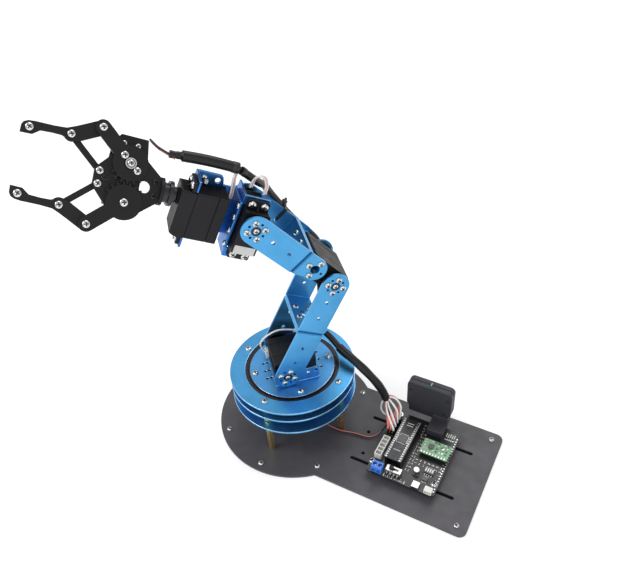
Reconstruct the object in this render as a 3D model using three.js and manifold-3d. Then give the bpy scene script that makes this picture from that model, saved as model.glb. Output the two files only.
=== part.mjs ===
// Desktop robot arm: five servo joints and a geared gripper on a slewing base, with its controller
// board. Millimetres, +Z up. The origin is on the slewing axis at the underside of the base plate,
// and +X runs along the plate towards the controller.
import * as THREE from 'three';
import { mergeVertices } from 'three/addons/utils/BufferGeometryUtils.js';
import Module from 'manifold-3d';

const wasm = await Module();
wasm.setup();

// ---- driving dimensions ------------------------------------------------------------------

const GAP = 0.3;                 // running or seating gap between neighbouring pieces
const SHEET = 2;                 // thickness of every bracket and disc

// base
const PLATE = { thick: 2, discR: 78.6, halfWidth: 59.2, endX: 196.9, corner: 7, rimHoleR: 71, holeR: 1.8 };
const SLOT = { y: 26.4, halfWidth: 1.7, spans: [[75, 104], [146, 174.5]] };
const END_HOLE = { x: 187, y: 50.3, r: 2 };
const DECK = PLATE.thick;        // height of the plate's upper face
const DISC_R = 60;
const LOWER_DISC_TOP = DECK + 42.0;
const MIDDLE_DISC_TOP = DECK + 58.2;
const TOP_RING_TOP = DECK + 68.4;
const COLUMN = { ringR: 50, acrossCorners: 6.6 };
const RACE = { outerR: 44.8, splitR: 42.2, innerR: 40.9, boreR: 36 };
const TURNTABLE_R = 40.6;

// arm posture: the arm's vertical plane is turned by PAN about the slewing axis, and each member
// stands at its angle above the horizontal in that plane
const PAN = 223;
const SHOULDER = { r: 9, z: DECK + 81.4 };
const UPPER_ARM = { angle: 117.2, length: 107.6 };
const FOREARM = { angle: 49.86, length: 91.8 };
const WRIST_ANGLE = 26.85;
const HAND_ROLL = 33.4;
const ROLL_AXIS = 1.1;          // roll axis above the wrist pitch axis, square to the wrist

// U brackets
const U = { half: 26.46, halfWidth: 12.2, hornHoleR: 4, spareHoleR: 1.1, spareRingR: 7, sideHoles: [18, 36] };
const FOREARM_WEB = 41.5;        // elbow axis to the joint between the two forearm brackets
const CRADLE = { arm: 13.8, endR: 10.4 };

// standard servo, measured from its output axis
const SERVO = {
  nose: 10, tail: 30, half: 10, height: 37, ear: 7.2, earHalf: 9.2, earTop: 7.5, earThick: 2.5, cut: [3, 5],
};
const SERVO_BOSS = { r: 6.5, high: 1.6 };
const SERVO_TOP = 18.5;          // output face above the arm's middle plane
const HORN = { hubR: 5.5, discR: 10.2, noseR: 3.6, hub: 1.9, disc: 3.2, face: 5.66, nose: 7.6 };

// wrist brackets, along the wrist from the pitch axis
const WRIST_PANEL = 10.3;
const ROLL_PANEL = 12.6;
const ROLL_SERVO_TOP = 58.5;
const ROLL_HORN = { start: 60.5, end: 69.9 };

// hand, in the gripper's own plane: x from the wrist pitch axis, y from the roll axis,
// z away from the gripper's front
const PALM = {
  flangeX: 70.2, flangeR: 10.4, front: [-5.5, -3], back: [5, 7], holeX: 84.2, holeR: 4.3,
  backHoleX: 82.2, backHoleR: 5,
};
const GEAR = { x: 96.7, y: 14.1, rootR: 12.6, tipR: 15.2, teeth: 20, layer: [-8.4, -5.8] };
const LINK = { length: 30, angle: 42, halfWidth: 5.4 };
const INNER = { x: 116.1, y: 4.65, halfWidth: 2.2, endR: 3.6, layer: [-2.7, -0.5] };
const FINGER_LAYER = [-5.5, -3];
const GRIPPER_SERVO_TOP = 0.2;

// controller board
const BOARD = { x: [94.6, 160.8], y: [-38, 38.4], z: DECK + 6.4, thick: 1.6 };
const BOARD_TOP = BOARD.z + BOARD.thick;

// wiring
const SLEEVE = { wrist: 9, arm: 7, base: 8.8, lead: 3.6, thin: 2.4 };

// ---- materials ---------------------------------------------------------------------------

const finish = (color, roughness, metalness) =>
  new THREE.MeshStandardMaterial({ color, roughness, metalness });
const paint = {
  blue: () => finish(0x2f7fc8, 0.35, 0.9),
  blackPlate: () => finish(0x2a2a2d, 0.55, 0.4),
  plastic: () => finish(0x1b1c1f, 0.5, 0),
  darkMetal: () => finish(0x26272a, 0.35, 0.8),
  steel: () => finish(0xb8babd, 0.3, 1),
  brass: () => finish(0xb59a4a, 0.3, 1),
  board: () => finish(0x141416, 0.4, 0.1),
  greenBoard: () => finish(0x4f9a57, 0.5, 0.1),
  bluePlastic: () => finish(0x2b64c8, 0.45, 0),
  whitePlastic: () => finish(0xe6e4dc, 0.5, 0),
  sleeve: () => finish(0x141414, 0.8, 0),
  wire: () => finish(0x6b2a22, 0.6, 0),
};

// ---- outlines and simple solids ----------------------------------------------------------

const toRad = THREE.MathUtils.degToRad;
const toDeg = THREE.MathUtils.radToDeg;
const v2 = (x, y) => new THREE.Vector2(x, y);

function arc(x, y, r, from, to, steps) {
  return Array.from({ length: steps + 1 }, (_, i) => {
    const a = toRad(from + ((to - from) * i) / steps);
    return v2(x + r * Math.cos(a), y + r * Math.sin(a));
  });
}

const onCircle = (r, angle) => [r * Math.cos(toRad(angle)), r * Math.sin(toRad(angle))];
const circle = (x, y, r, steps = 12) => arc(x, y, r, 0, 360, steps).slice(0, -1);

function roundedRect(x0, x1, y0, y1, r, steps = 3) {
  return [
    ...arc(x1 - r, y0 + r, r, -90, 0, steps),
    ...arc(x1 - r, y1 - r, r, 0, 90, steps),
    ...arc(x0 + r, y1 - r, r, 90, 180, steps),
    ...arc(x0 + r, y0 + r, r, 180, 270, steps),
  ];
}

const slot = (x0, x1, y, r) => roundedRect(x0 - r, x1 + r, y - r, y + r, r * 0.999, 3);

function outline(points, holes = []) {
  const shape = new THREE.Shape(points);
  shape.holes = holes.map((hole) => new THREE.Path(hole));
  return shape;
}

// an outline in XY, filled from z0 to z1
function prism(shape, z0, z1) {
  const geometry = new THREE.ExtrudeGeometry(shape, { depth: z1 - z0, bevelEnabled: false });
  return geometry.translate(0, 0, z0);
}

// an outline in XZ, filled from y0 to y1
function sidePrism(shape, y0, y1) {
  return prism(shape, 0, y1 - y0).rotateX(Math.PI / 2).translate(0, y1, 0);
}

// an outline in YZ, filled from x0 to x1
function endPrism(shape, x0, x1) {
  return prism(shape, x0, x1).rotateX(Math.PI / 2).rotateZ(Math.PI / 2);
}

function box(x, y, z) {
  const geometry = new THREE.BoxGeometry(x[1] - x[0], y[1] - y[0], z[1] - z[0]);
  return geometry.translate((x[0] + x[1]) / 2, (y[0] + y[1]) / 2, (z[0] + z[1]) / 2);
}

// a profile of [radius, height] pairs turned about Z
function turned(profile, steps = 20) {
  const points = profile.map(([r, z]) => v2(r, z));
  return new THREE.LatheGeometry(points, steps).rotateX(Math.PI / 2);
}

function rod(r, z0, z1, steps = 16, x = 0, y = 0) {
  return prism(outline(circle(x, y, r, steps)), z0, z1);
}

function ringSolid(rIn, rOut, z0, z1, steps) {
  return prism(outline(circle(0, 0, rOut, steps), [circle(0, 0, rIn, steps)]), z0, z1);
}

// a round cord of the given diameter along a smooth route
function cord(route, diameter, sides, steps) {
  const path = new THREE.CatmullRomCurve3(route.map((p) => new THREE.Vector3(...p)), false, 'centripetal');
  const section = outline(circle(0, 0, diameter / 2, sides));
  return new THREE.ExtrudeGeometry(section, { steps, extrudePath: path });
}

// ---- joins and cuts ----------------------------------------------------------------------

// the closed solid of a geometry, with its faces turned outwards
function solid(geometry) {
  const bare = geometry.clone();
  const extra = Object.keys(bare.attributes).filter((key) => key !== 'position');
  extra.forEach((key) => bare.deleteAttribute(key));
  const merged = mergeVertices(bare, 1e-4);
  const at = merged.getAttribute('position').array;
  const corner = (i) => new THREE.Vector3(at[3 * i], at[3 * i + 1], at[3 * i + 2]);
  const faces = [];
  let volume = 0;
  const index = merged.getIndex().array;
  for (let i = 0; i < index.length; i += 3) {
    const [a, b, c] = [index[i], index[i + 1], index[i + 2]];
    if (a === b || b === c || c === a) continue;
    faces.push([a, b, c]);
    volume += corner(a).dot(corner(b).cross(corner(c)));
  }
  const triVerts = new Uint32Array(faces.flatMap(([a, b, c]) => (volume > 0 ? [a, b, c] : [a, c, b])));
  const mesh = new wasm.Mesh({ numProp: 3, vertProperties: new Float32Array(at), triVerts });
  mesh.merge();
  return new wasm.Manifold(mesh);
}

function joined(added, removed = []) {
  const whole = added.map(solid).reduce((all, next) => all.add(next));
  const cut = removed.map(solid).reduce((all, next) => all.subtract(next), whole);
  const { vertProperties, triVerts } = cut.getMesh();
  const geometry = new THREE.BufferGeometry();
  geometry.setAttribute('position', new THREE.BufferAttribute(vertProperties, 3));
  geometry.setIndex(new THREE.BufferAttribute(triVerts, 1));
  geometry.computeVertexNormals();
  return geometry;
}

function piece(parent, name, material, added, removed = []) {
  const mesh = new THREE.Mesh(joined(added, removed), material());
  mesh.name = name;
  parent.add(mesh);
  return mesh;
}

// ---- frames ------------------------------------------------------------------------------

const arm = new THREE.Group();

function frame(parent, position, rotation = [0, 0, 0]) {
  const group = new THREE.Group();
  group.position.set(...position);
  group.rotation.set(...rotation.map(toRad));
  parent.add(group);
  return group;
}

// arm plane: X forwards to the gripper, Y out of the plane towards the side the horns are on
const armPlane = frame(arm, [0, 0, 0], [0, 0, PAN]);
const along = (from, member, distance = member.length) => [
  from[0] + distance * Math.cos(toRad(member.angle)), 0,
  from[2] + distance * Math.sin(toRad(member.angle)),
];
const shoulderAt = [SHOULDER.r, 0, SHOULDER.z];
const elbowAt = along(shoulderAt, UPPER_ARM);
const wristAt = along(elbowAt, FOREARM);

// member frames: X along the member, Y as in the arm plane, Z square to both
const shoulder = frame(armPlane, shoulderAt);
const upperArm = frame(armPlane, shoulderAt, [0, -UPPER_ARM.angle, 0]);
const forearm = frame(armPlane, elbowAt, [0, -FOREARM.angle, 0]);
const wrist = frame(armPlane, wristAt, [0, -WRIST_ANGLE, 0]);
const hand = frame(wrist, [0, 0, ROLL_AXIS], [HAND_ROLL, 0, 0]);
const gripper = frame(hand, [0, 0, 0], [90, 0, 0]);

// ---- repeated pieces ---------------------------------------------------------------------

// servo: output axis +Z, output face at z = 0, long side along X; a servo that its bracket clasps
// has no mounting ears, and one that drives a joint has a second shaft on its other face
function servo(parent, name, { ears = true, twoShafts = false }) {
  const foot = -SERVO.height;
  const { tail, half, cut } = SERVO;
  const solids = [
    prism(outline(roundedRect(-SERVO.tail, SERVO.nose, -SERVO.half, SERVO.half, 1.2)), foot, 0),
    rod(SERVO_BOSS.r, -1, SERVO_BOSS.high, 20),
  ];
  if (ears) {
    const plate = roundedRect(-tail - SERVO.ear, SERVO.nose + SERVO.ear, -SERVO.earHalf, SERVO.earHalf, 1.5);
    solids.push(prism(outline(plate), -SERVO.earTop - SERVO.earThick, -SERVO.earTop));
  }
  if (twoShafts) solids.push(rod(SERVO_BOSS.r - 0.5, foot - SERVO_BOSS.high, foot + 1, 20));
  const chamfer = outline([
    v2(-tail - 1, -cut[1] * (1 + 1 / cut[0])), v2(-tail + cut[0] + 1, cut[1] / cut[0]), v2(-tail - 1, 2),
  ]);
  piece(parent, name, paint.plastic, solids, [sidePrism(chamfer, -half - 1, half + 1)]);
}

// output horn above a servo's output face: hub, disc that the bracket screws to, nose in its hole
const horn = () => turned([
  [0, HORN.hub], [HORN.hubR, HORN.hub], [HORN.hubR, HORN.disc], [HORN.discR, HORN.disc],
  [HORN.discR, HORN.face], [HORN.noseR, HORN.face], [HORN.noseR, HORN.nose], [0, HORN.nose],
]);

// frame of a servo in a member's own frame, its output axis along the member's Y;
// nose gives the direction of its short end in the member's XZ plane, in degrees
function servoFrame(parent, noseAngle) {
  const group = frame(parent, [0, SERVO_TOP, 0]);
  const nose = new THREE.Vector3(Math.cos(toRad(noseAngle)), 0, Math.sin(toRad(noseAngle)));
  const axis = new THREE.Vector3(0, 1, 0);
  const side = new THREE.Vector3().crossVectors(axis, nose);
  group.setRotationFromMatrix(new THREE.Matrix4().makeBasis(nose, side, axis));
  return group;
}

// horn and idler of one joint: the idler is the same disc on the servo's other face
function jointDiscs(parent, noseAngle, hornName, idlerName) {
  const place = servoFrame(parent, noseAngle);
  piece(place, hornName, paint.darkMetal, [horn()]);
  piece(place, idlerName, paint.darkMetal, [horn().rotateX(Math.PI).translate(0, 0, -SERVO.height)]);
}

// U bracket: web across x = 0 to SHEET and two arms, each ending in a round of radius endR about
// the horn hole at x = reach; spareFrom is the angle of the first of the horn hole's four spare holes
function uBracket(reach, { sideHoles = U.sideHoles, spareFrom = 45, endR = U.halfWidth } = {}) {
  const w = U.halfWidth;
  const rise = w - endR;
  const lean = toDeg(Math.asin((2 * rise) / Math.hypot(reach, w + rise)));
  const spare = [0, 90, 180, 270].map((a) =>
    circle(...onCircle(U.spareRingR, a + spareFrom), U.spareHoleR, 8));
  spare.forEach((hole) => hole.forEach((p) => p.add(v2(reach, rise))));
  const side = outline(
    [v2(0, -w), ...arc(reach, rise, endR, -90 - lean, 90, 18), v2(0, w)],
    [circle(reach, rise, U.hornHoleR, 20), ...spare,
      ...sideHoles.map((back) => circle(reach - back, 0, 1.7, 10))],
  );
  return [
    sidePrism(side, U.half - SHEET, U.half),
    sidePrism(side, -U.half, -U.half + SHEET),
    endPrism(outline([v2(-U.half, -w), v2(U.half, -w), v2(U.half, w), v2(-U.half, w)],
      [circle(0, 0, U.hornHoleR, 16)]), 0, SHEET),
  ];
}

// ---- base --------------------------------------------------------------------------------

function basePlate() {
  const corner = toDeg(Math.asin(PLATE.halfWidth / PLATE.discR));
  const r = PLATE.corner;
  const edge = [
    ...arc(0, 0, PLATE.discR, corner, 360 - corner, 56),
    ...arc(PLATE.endX - r, -PLATE.halfWidth + r, r, -90, 0, 5),
    ...arc(PLATE.endX - r, PLATE.halfWidth - r, r, 0, 90, 5),
  ];
  const rimHoles = [45, 135, 180, 225, 270, 315].map((a) => {
    const at = arc(0, 0, PLATE.rimHoleR, a, a, 1)[0];
    return circle(at.x, at.y, PLATE.holeR, 8);
  });
  const slots = SLOT.spans.flatMap(([x0, x1]) =>
    [-1, 1].map((s) => slot(x0, x1, s * SLOT.y, SLOT.halfWidth)));
  const endHoles = [-1, 1].map((s) => circle(END_HOLE.x, s * END_HOLE.y, END_HOLE.r, 8));
  const cableHoles = [circle(76.7, 7.6, 1.7, 8), circle(82.5, -17.5, 1.7, 8)];
  return prism(outline(edge, [...rimHoles, ...slots, ...endHoles, ...cableHoles]), 0, PLATE.thick);
}

const columnAngles = [0, 90, 180, 270];

function buildBase() {
  const columnHoles = (r) => columnAngles.map((a) => circle(...onCircle(COLUMN.ringR, a), r, 12));
  const servoHole = roundedRect(-SERVO.tail - 0.6, SERVO.nose + 0.6, -SERVO.half - 0.6, SERVO.half + 0.6, 1);
  const disc = (top, holes) => prism(outline(circle(0, 0, DISC_R, 72), holes), top - SHEET, top);

  piece(arm, 'base_plate', paint.blackPlate, [basePlate()]);
  const columnClearance = columnHoles(COLUMN.acrossCorners / 2 + GAP);
  piece(arm, 'lower_disc', paint.blue, [disc(LOWER_DISC_TOP, [servoHole, ...columnClearance])]);
  piece(arm, 'middle_disc', paint.blue, [disc(MIDDLE_DISC_TOP, [circle(0, 0, 13, 24)])]);
  piece(arm, 'top_ring', paint.blue,
    [ringSolid(RACE.outerR + GAP, DISC_R, TOP_RING_TOP - SHEET, TOP_RING_TOP, 72)]);

  columnAngles.forEach((angle, i) => {
    const at = onCircle(COLUMN.ringR, angle);
    piece(arm, `base_column_${i + 1}`, paint.brass,
      [rod(COLUMN.acrossCorners / 2, DECK + GAP, MIDDLE_DISC_TOP - SHEET - GAP, 6, ...at)]);
    piece(arm, `ring_spacer_${i + 1}`, paint.brass,
      [rod(COLUMN.acrossCorners / 2, MIDDLE_DISC_TOP + GAP, TOP_RING_TOP - SHEET - GAP, 6, ...at)]);
  });

  piece(arm, 'bearing_outer_race', paint.darkMetal,
    [ringSolid(RACE.splitR + GAP / 2 + 0.03, RACE.outerR, MIDDLE_DISC_TOP + GAP, TOP_RING_TOP - 0.8, 72)]);
  const panServo = frame(arm, [0, 0, LOWER_DISC_TOP + GAP + SERVO.earThick + SERVO.earTop]);
  servo(panServo, 'pan_servo', {});
}

// ---- turntable ---------------------------------------------------------------------------

// bracket that holds the shoulder servo: a foot on the turntable and an upright tab at each face
function shoulderBracket() {
  const [x0, x1] = [-SERVO.tail - 0.5, SERVO.nose + 1.5];
  const foot = TOP_RING_TOP + GAP - SHOULDER.z;
  const tab = outline([
    v2(x0, foot), v2(x1, foot), v2(x1, -3.5), v2(x1 - 3, -0.8),
    ...arc(0, 0, 8.5, -5, -175, 10), v2(-11, 0), v2(x0 + 3.5, 0), v2(x0, -3.5),
  ], [circle(-27.5, -4.6, 1.6, 8)]);
  const tabFace = SERVO_TOP + 0.4;
  return [
    box([x0, x1], [-23.9, 23.9], [foot, foot + SHEET]),
    sidePrism(tab, tabFace, tabFace + SHEET),
    sidePrism(tab, -tabFace - SHEET, -tabFace),
  ];
}

function buildTurntable() {
  const table = frame(arm, [0, 0, 0], [0, 0, PAN]);
  const mountHoles = [-24.5, 24.5].flatMap((x) => [-10, 0, 10].map((y) => slot(x - 1.1, x + 1.1, y, 1.3)));
  piece(table, 'turntable_disc', paint.blue,
    [prism(outline(circle(0, 0, TURNTABLE_R, 60), mountHoles), TOP_RING_TOP - SHEET, TOP_RING_TOP)]);
  const rim = TOP_RING_TOP + 0.1;
  const step = TOP_RING_TOP - SHEET - GAP;
  const foot = MIDDLE_DISC_TOP + 0.9;
  piece(table, 'bearing_inner_race', paint.steel, [turned([
    [RACE.boreR, foot], [RACE.splitR - GAP / 2 - 0.03, foot],
    [RACE.splitR - GAP / 2 - 0.03, rim], [RACE.innerR, rim],
    [RACE.innerR, step], [RACE.boreR, step], [RACE.boreR, foot],
  ], 60)]);
  const hornFoot = LOWER_DISC_TOP + GAP + SERVO.earThick + SERVO.earTop + HORN.hub;
  piece(table, 'pan_horn', paint.darkMetal, [turned([
    [0, hornFoot], [HORN.discR, hornFoot], [HORN.discR, hornFoot + 3], [6.5, hornFoot + 4.5],
    [6.5, step - 3], [HORN.discR + 2, step - 3], [HORN.discR + 2, step], [0, step],
  ], 24)]);
  piece(shoulder, 'shoulder_bracket', paint.blue, shoulderBracket());
  servo(servoFrame(shoulder, 0), 'shoulder_servo', { ears: false, twoShafts: true });
}

// ---- arm ---------------------------------------------------------------------------------

function buildUpperArm() {
  const half = UPPER_ARM.length / 2;
  const reach = half - GAP / 2;
  const lower = frame(upperArm, [reach, 0, 0], [0, 180, 0]);
  const upper = frame(upperArm, [half + GAP / 2, 0, 0]);
  piece(lower, 'lower_arm_bracket', paint.blue, uBracket(reach));
  piece(upper, 'upper_arm_bracket', paint.blue, uBracket(reach));
  jointDiscs(shoulder, UPPER_ARM.angle, 'shoulder_horn', 'shoulder_idler');
  jointDiscs(forearm, 180, 'elbow_horn', 'elbow_idler');
}

// short U bracket whose arms carry round-ended pads that clasp the elbow servo's two faces
function servoCradle() {
  const pad = outline(
    roundedRect(CRADLE.arm - 10.4, CRADLE.arm + 10.4, -9, 9, 8.99, 6),
    [circle(CRADLE.arm, U.halfWidth - CRADLE.endR, U.hornHoleR, 20)],
  );
  const inner = U.half - SHEET;
  const face = SERVO_TOP + GAP;
  return [
    ...uBracket(CRADLE.arm, { sideHoles: [], spareFrom: 0, endR: CRADLE.endR }),
    sidePrism(pad, face, inner + 0.2),
    sidePrism(pad, -inner - 0.2, -face),
  ];
}

function buildForearm() {
  servo(servoFrame(forearm, 180), 'elbow_servo', { ears: false, twoShafts: true });
  const cradle = frame(forearm, [FOREARM_WEB - GAP / 2, 0, 0], [0, 0, 180]);
  piece(cradle, 'elbow_servo_cradle', paint.blue, servoCradle());
  const bracket = frame(forearm, [FOREARM_WEB + GAP / 2, 0, 0]);
  piece(bracket, 'forearm_bracket', paint.blue,
    uBracket(FOREARM.length - FOREARM_WEB - GAP / 2, { spareFrom: 0 }));
  jointDiscs(wrist, 90, 'wrist_pitch_horn', 'wrist_pitch_idler');
}

// ---- wrist -------------------------------------------------------------------------------

// panel behind the pitch servo, with a tab under each of the servo's ears
function pitchBracket() {
  const earFace = SERVO_TOP - SERVO.earTop - SERVO.earThick - GAP;
  const [low, high] = [-SERVO.tail - 8.4, SERVO.nose + 8.6];
  const tabSpan = [-SERVO.earHalf, WRIST_PANEL + SHEET];
  return [
    box([WRIST_PANEL, WRIST_PANEL + SHEET], [-16, earFace], [low, high]),
    box(tabSpan, [earFace - SHEET, earFace], [SERVO.nose + 0.6, high]),
    box(tabSpan, [earFace - SHEET, earFace], [low, -SERVO.tail - 0.6]),
  ];
}

// folded bracket of the roll servo: back flange, side panel, and a tab under each ear
function rollBracket() {
  const front = ROLL_SERVO_TOP - SERVO.earTop - SERVO.earThick - GAP;
  const side = -SERVO.half - GAP;
  const [low, high] = [-SERVO.tail - 9, SERVO.nose + 9.5];
  const panel = outline([
    v2(ROLL_PANEL, -30), v2(24, -30), v2(27, low), v2(front, low), v2(front, high), v2(26.5, high),
    v2(24.5, high - 2), v2(24.5, 12), v2(ROLL_PANEL, 12),
  ], [circle(41, 14.5, 2, 10), circle(30, 14.5, 2, 10)]);
  const tab = (z0, z1) => box([front - SHEET, front], [side - SHEET, SERVO.earHalf], [z0, z1]);
  return [
    sidePrism(panel, side - SHEET, side),
    box([ROLL_PANEL, ROLL_PANEL + SHEET], [side - SHEET, 12], [-30, 12]),
    tab(SERVO.nose + 0.6, high),
    tab(low, -SERVO.tail - 0.6),
  ];
}

// frame of the roll servo: output axis along the wrist, short end up
function rollServoFrame(parent, x) {
  const group = frame(parent, [x, 0, ROLL_AXIS]);
  const basis = [new THREE.Vector3(0, 0, 1), new THREE.Vector3(0, -1, 0), new THREE.Vector3(1, 0, 0)];
  group.setRotationFromMatrix(new THREE.Matrix4().makeBasis(...basis));
  return group;
}

function buildWrist() {
  servo(servoFrame(wrist, 90), 'wrist_pitch_servo', { twoShafts: true });
  piece(wrist, 'wrist_pitch_bracket', paint.blue, pitchBracket());
  piece(frame(wrist, [0, 0, ROLL_AXIS]), 'wrist_roll_bracket', paint.blue, rollBracket());
  servo(rollServoFrame(wrist, ROLL_SERVO_TOP), 'wrist_roll_servo', {});
}

// ---- hand --------------------------------------------------------------------------------

// folded palm, as what is added and what is removed: a front plate that carries the linkage, a round
// rear flange, and a back plate with the window that the gripper servo stands in and a clearance hole
function palm() {
  const mirrored = (points) => [...points, ...points.slice().reverse().map((p) => v2(p.x, -p.y))];
  const bore = circle(PALM.holeX, 0, PALM.holeR, 16);
  const front = outline(mirrored([
    v2(PALM.flangeX, 9.6), v2(73.6, 9.6), v2(84.2, 18.4), v2(90, 22.5), v2(104, 22.5),
    v2(109.3, 18.2), v2(119.8, 6.3),
  ]), [bore, circle(GEAR.x, GEAR.y, 7.2, 16)]);
  const window = roundedRect(GEAR.x - SERVO.half - 0.6, GEAR.x + SERVO.half + 0.6,
    GEAR.y - SERVO.tail - 0.6, GEAR.y + SERVO.nose + 0.6, 1);
  const back = outline([
    v2(PALM.flangeX, -9.6), v2(73.6, -9.6), v2(82.5, -15), v2(86, -20), v2(107.5, -20), v2(111.5, -8),
    v2(111.5, 8), v2(109.5, 28), v2(104.5, 35), v2(85, 35), v2(83, 20), v2(73.6, 9.6), v2(PALM.flangeX, 9.6),
  ], [window]);
  const added = [
    prism(front, ...PALM.front),
    prism(back, ...PALM.back),
    endPrism(outline(circle(0, 0, PALM.flangeR, 28)), PALM.flangeX, PALM.flangeX + 2.5),
    rod(2.2, PALM.front[0] - 0.8, PALM.back[0] + 0.5, 12, 110.2, 0),
  ];
  return [added, [rod(PALM.backHoleR, PALM.back[0] - 1, PALM.back[1] + 1, 20, PALM.backHoleX, 1)]];
}

const onLink = (centre, side, length = LINK.length) => [
  centre[0] + length * Math.cos(toRad(LINK.angle)),
  centre[1] + side * length * Math.sin(toRad(LINK.angle)),
];

// toothed disc with its link arm, about the gear axis; side is +1 above the roll axis, -1 below
function gearLink(side, toothAngles, centreHole) {
  const tooth = (angle) => outline([
    ...arc(0, 0, GEAR.rootR - 1, angle - 5.4, angle + 5.4, 1),
    ...arc(0, 0, GEAR.tipR, angle + 2.3, angle - 2.3, 1),
  ]);
  const along = toRad(side * LINK.angle);
  const bar = outline([v2(0, -LINK.halfWidth), ...arc(LINK.length, 0, LINK.halfWidth, -90, 90, 10),
    v2(0, LINK.halfWidth)]);
  const solids = [
    rod(GEAR.rootR, ...GEAR.layer, 40),
    prism(bar, ...GEAR.layer).rotateZ(along),
    ...toothAngles.map((a) => prism(tooth(a), ...GEAR.layer)),
  ];
  const removed = centreHole ? [rod(centreHole, GEAR.layer[0] - 1, GEAR.layer[1] + 1, 16)] : [];
  return [solids, removed];
}

// finger about its rear pivot, in the open posture, above the roll axis
function finger(side) {
  const pivot = [INNER.x - GEAR.x, INNER.y - GEAR.y];
  const edge = [
    ...arc(0, 0, 5.2, 245, 62, 9),
    v2(11.2, -0.2), v2(18, -3.8), v2(23, -6.1), v2(31, -6.8), v2(43.3, -7.0),
    v2(47.3, -7.5), v2(50, -8.9), v2(51.2, -11.2), v2(51.4, -16.2), v2(43.6, -15.9), v2(39, -12.3),
    v2(31.5, -11.8), v2(25.4, -11.9),
    ...arc(pivot[0], pivot[1], 5.3, -35, -125, 6),
    v2(13.4, -13.2),
  ].map((p) => v2(p.x, side * p.y));
  return [prism(outline(edge), ...FINGER_LAYER)];
}

function innerLink(side) {
  const end = [LINK.length * Math.cos(toRad(LINK.angle)), side * LINK.length * Math.sin(toRad(LINK.angle))];
  const w = INNER.halfWidth;
  const bar = prism(outline([v2(0, -w), v2(LINK.length, -w), v2(LINK.length, w), v2(0, w)]), ...INNER.layer);
  return [
    bar.rotateZ(toRad(side * LINK.angle)),
    rod(INNER.endR, ...INNER.layer, 16),
    rod(INNER.endR, ...INNER.layer, 16, ...end),
  ];
}

const evenTeeth = (first, last) => {
  const pitch = 360 / GEAR.teeth;
  return Array.from({ length: Math.round((last - first) / pitch) + 1 }, (_, i) => first + i * pitch);
};

function buildHand() {
  const hornPlace = rollServoFrame(wrist, 0);
  piece(hornPlace, 'wrist_roll_horn', paint.darkMetal, [turned([
    [0, ROLL_HORN.start], [6, ROLL_HORN.start], [6, 63], [9.5, 63], [9.5, 66], [7.5, 66],
    [7.5, ROLL_HORN.end], [0, ROLL_HORN.end],
  ], 24)]);
  piece(gripper, 'palm_bracket', paint.blackPlate, ...palm());

  const servoPlace = frame(hand, [GEAR.x, GRIPPER_SERVO_TOP, GEAR.y]);
  const [nose, axis] = [new THREE.Vector3(0, 0, 1), new THREE.Vector3(0, 1, 0)];
  const side = new THREE.Vector3().crossVectors(axis, nose);
  servoPlace.setRotationFromMatrix(new THREE.Matrix4().makeBasis(nose, side, axis));
  servo(servoPlace, 'gripper_servo', {});
}

function buildGripper() {
  const upperGear = frame(gripper, [GEAR.x, GEAR.y, 0]);
  const lowerGear = frame(gripper, [GEAR.x, -GEAR.y, 0]);
  piece(upperGear, 'drive_gear_link', paint.blackPlate, ...gearLink(1, evenTeeth(-126, -36), 4.5));
  piece(lowerGear, 'driven_gear_link', paint.blackPlate, ...gearLink(-1, evenTeeth(27, 135), 0));
  piece(upperGear, 'gripper_horn', paint.steel,
    [turned([[0, -9.6], [4.1, -9.6], [4.1, -5.4], [5.8, -5.4], [5.8, -2.1], [0, -2.1]])]);

  [['upper', 1], ['lower', -1]].forEach(([label, side]) => {
    const inner = frame(gripper, [INNER.x, side * INNER.y, 0]);
    piece(inner, `${label}_inner_link`, paint.blackPlate, innerLink(side));
    const outer = onLink([GEAR.x, side * GEAR.y], side);
    piece(frame(gripper, [...outer, 0]), `${label}_finger`, paint.blackPlate, finger(side));
  });
}

// ---- controller --------------------------------------------------------------------------

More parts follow.
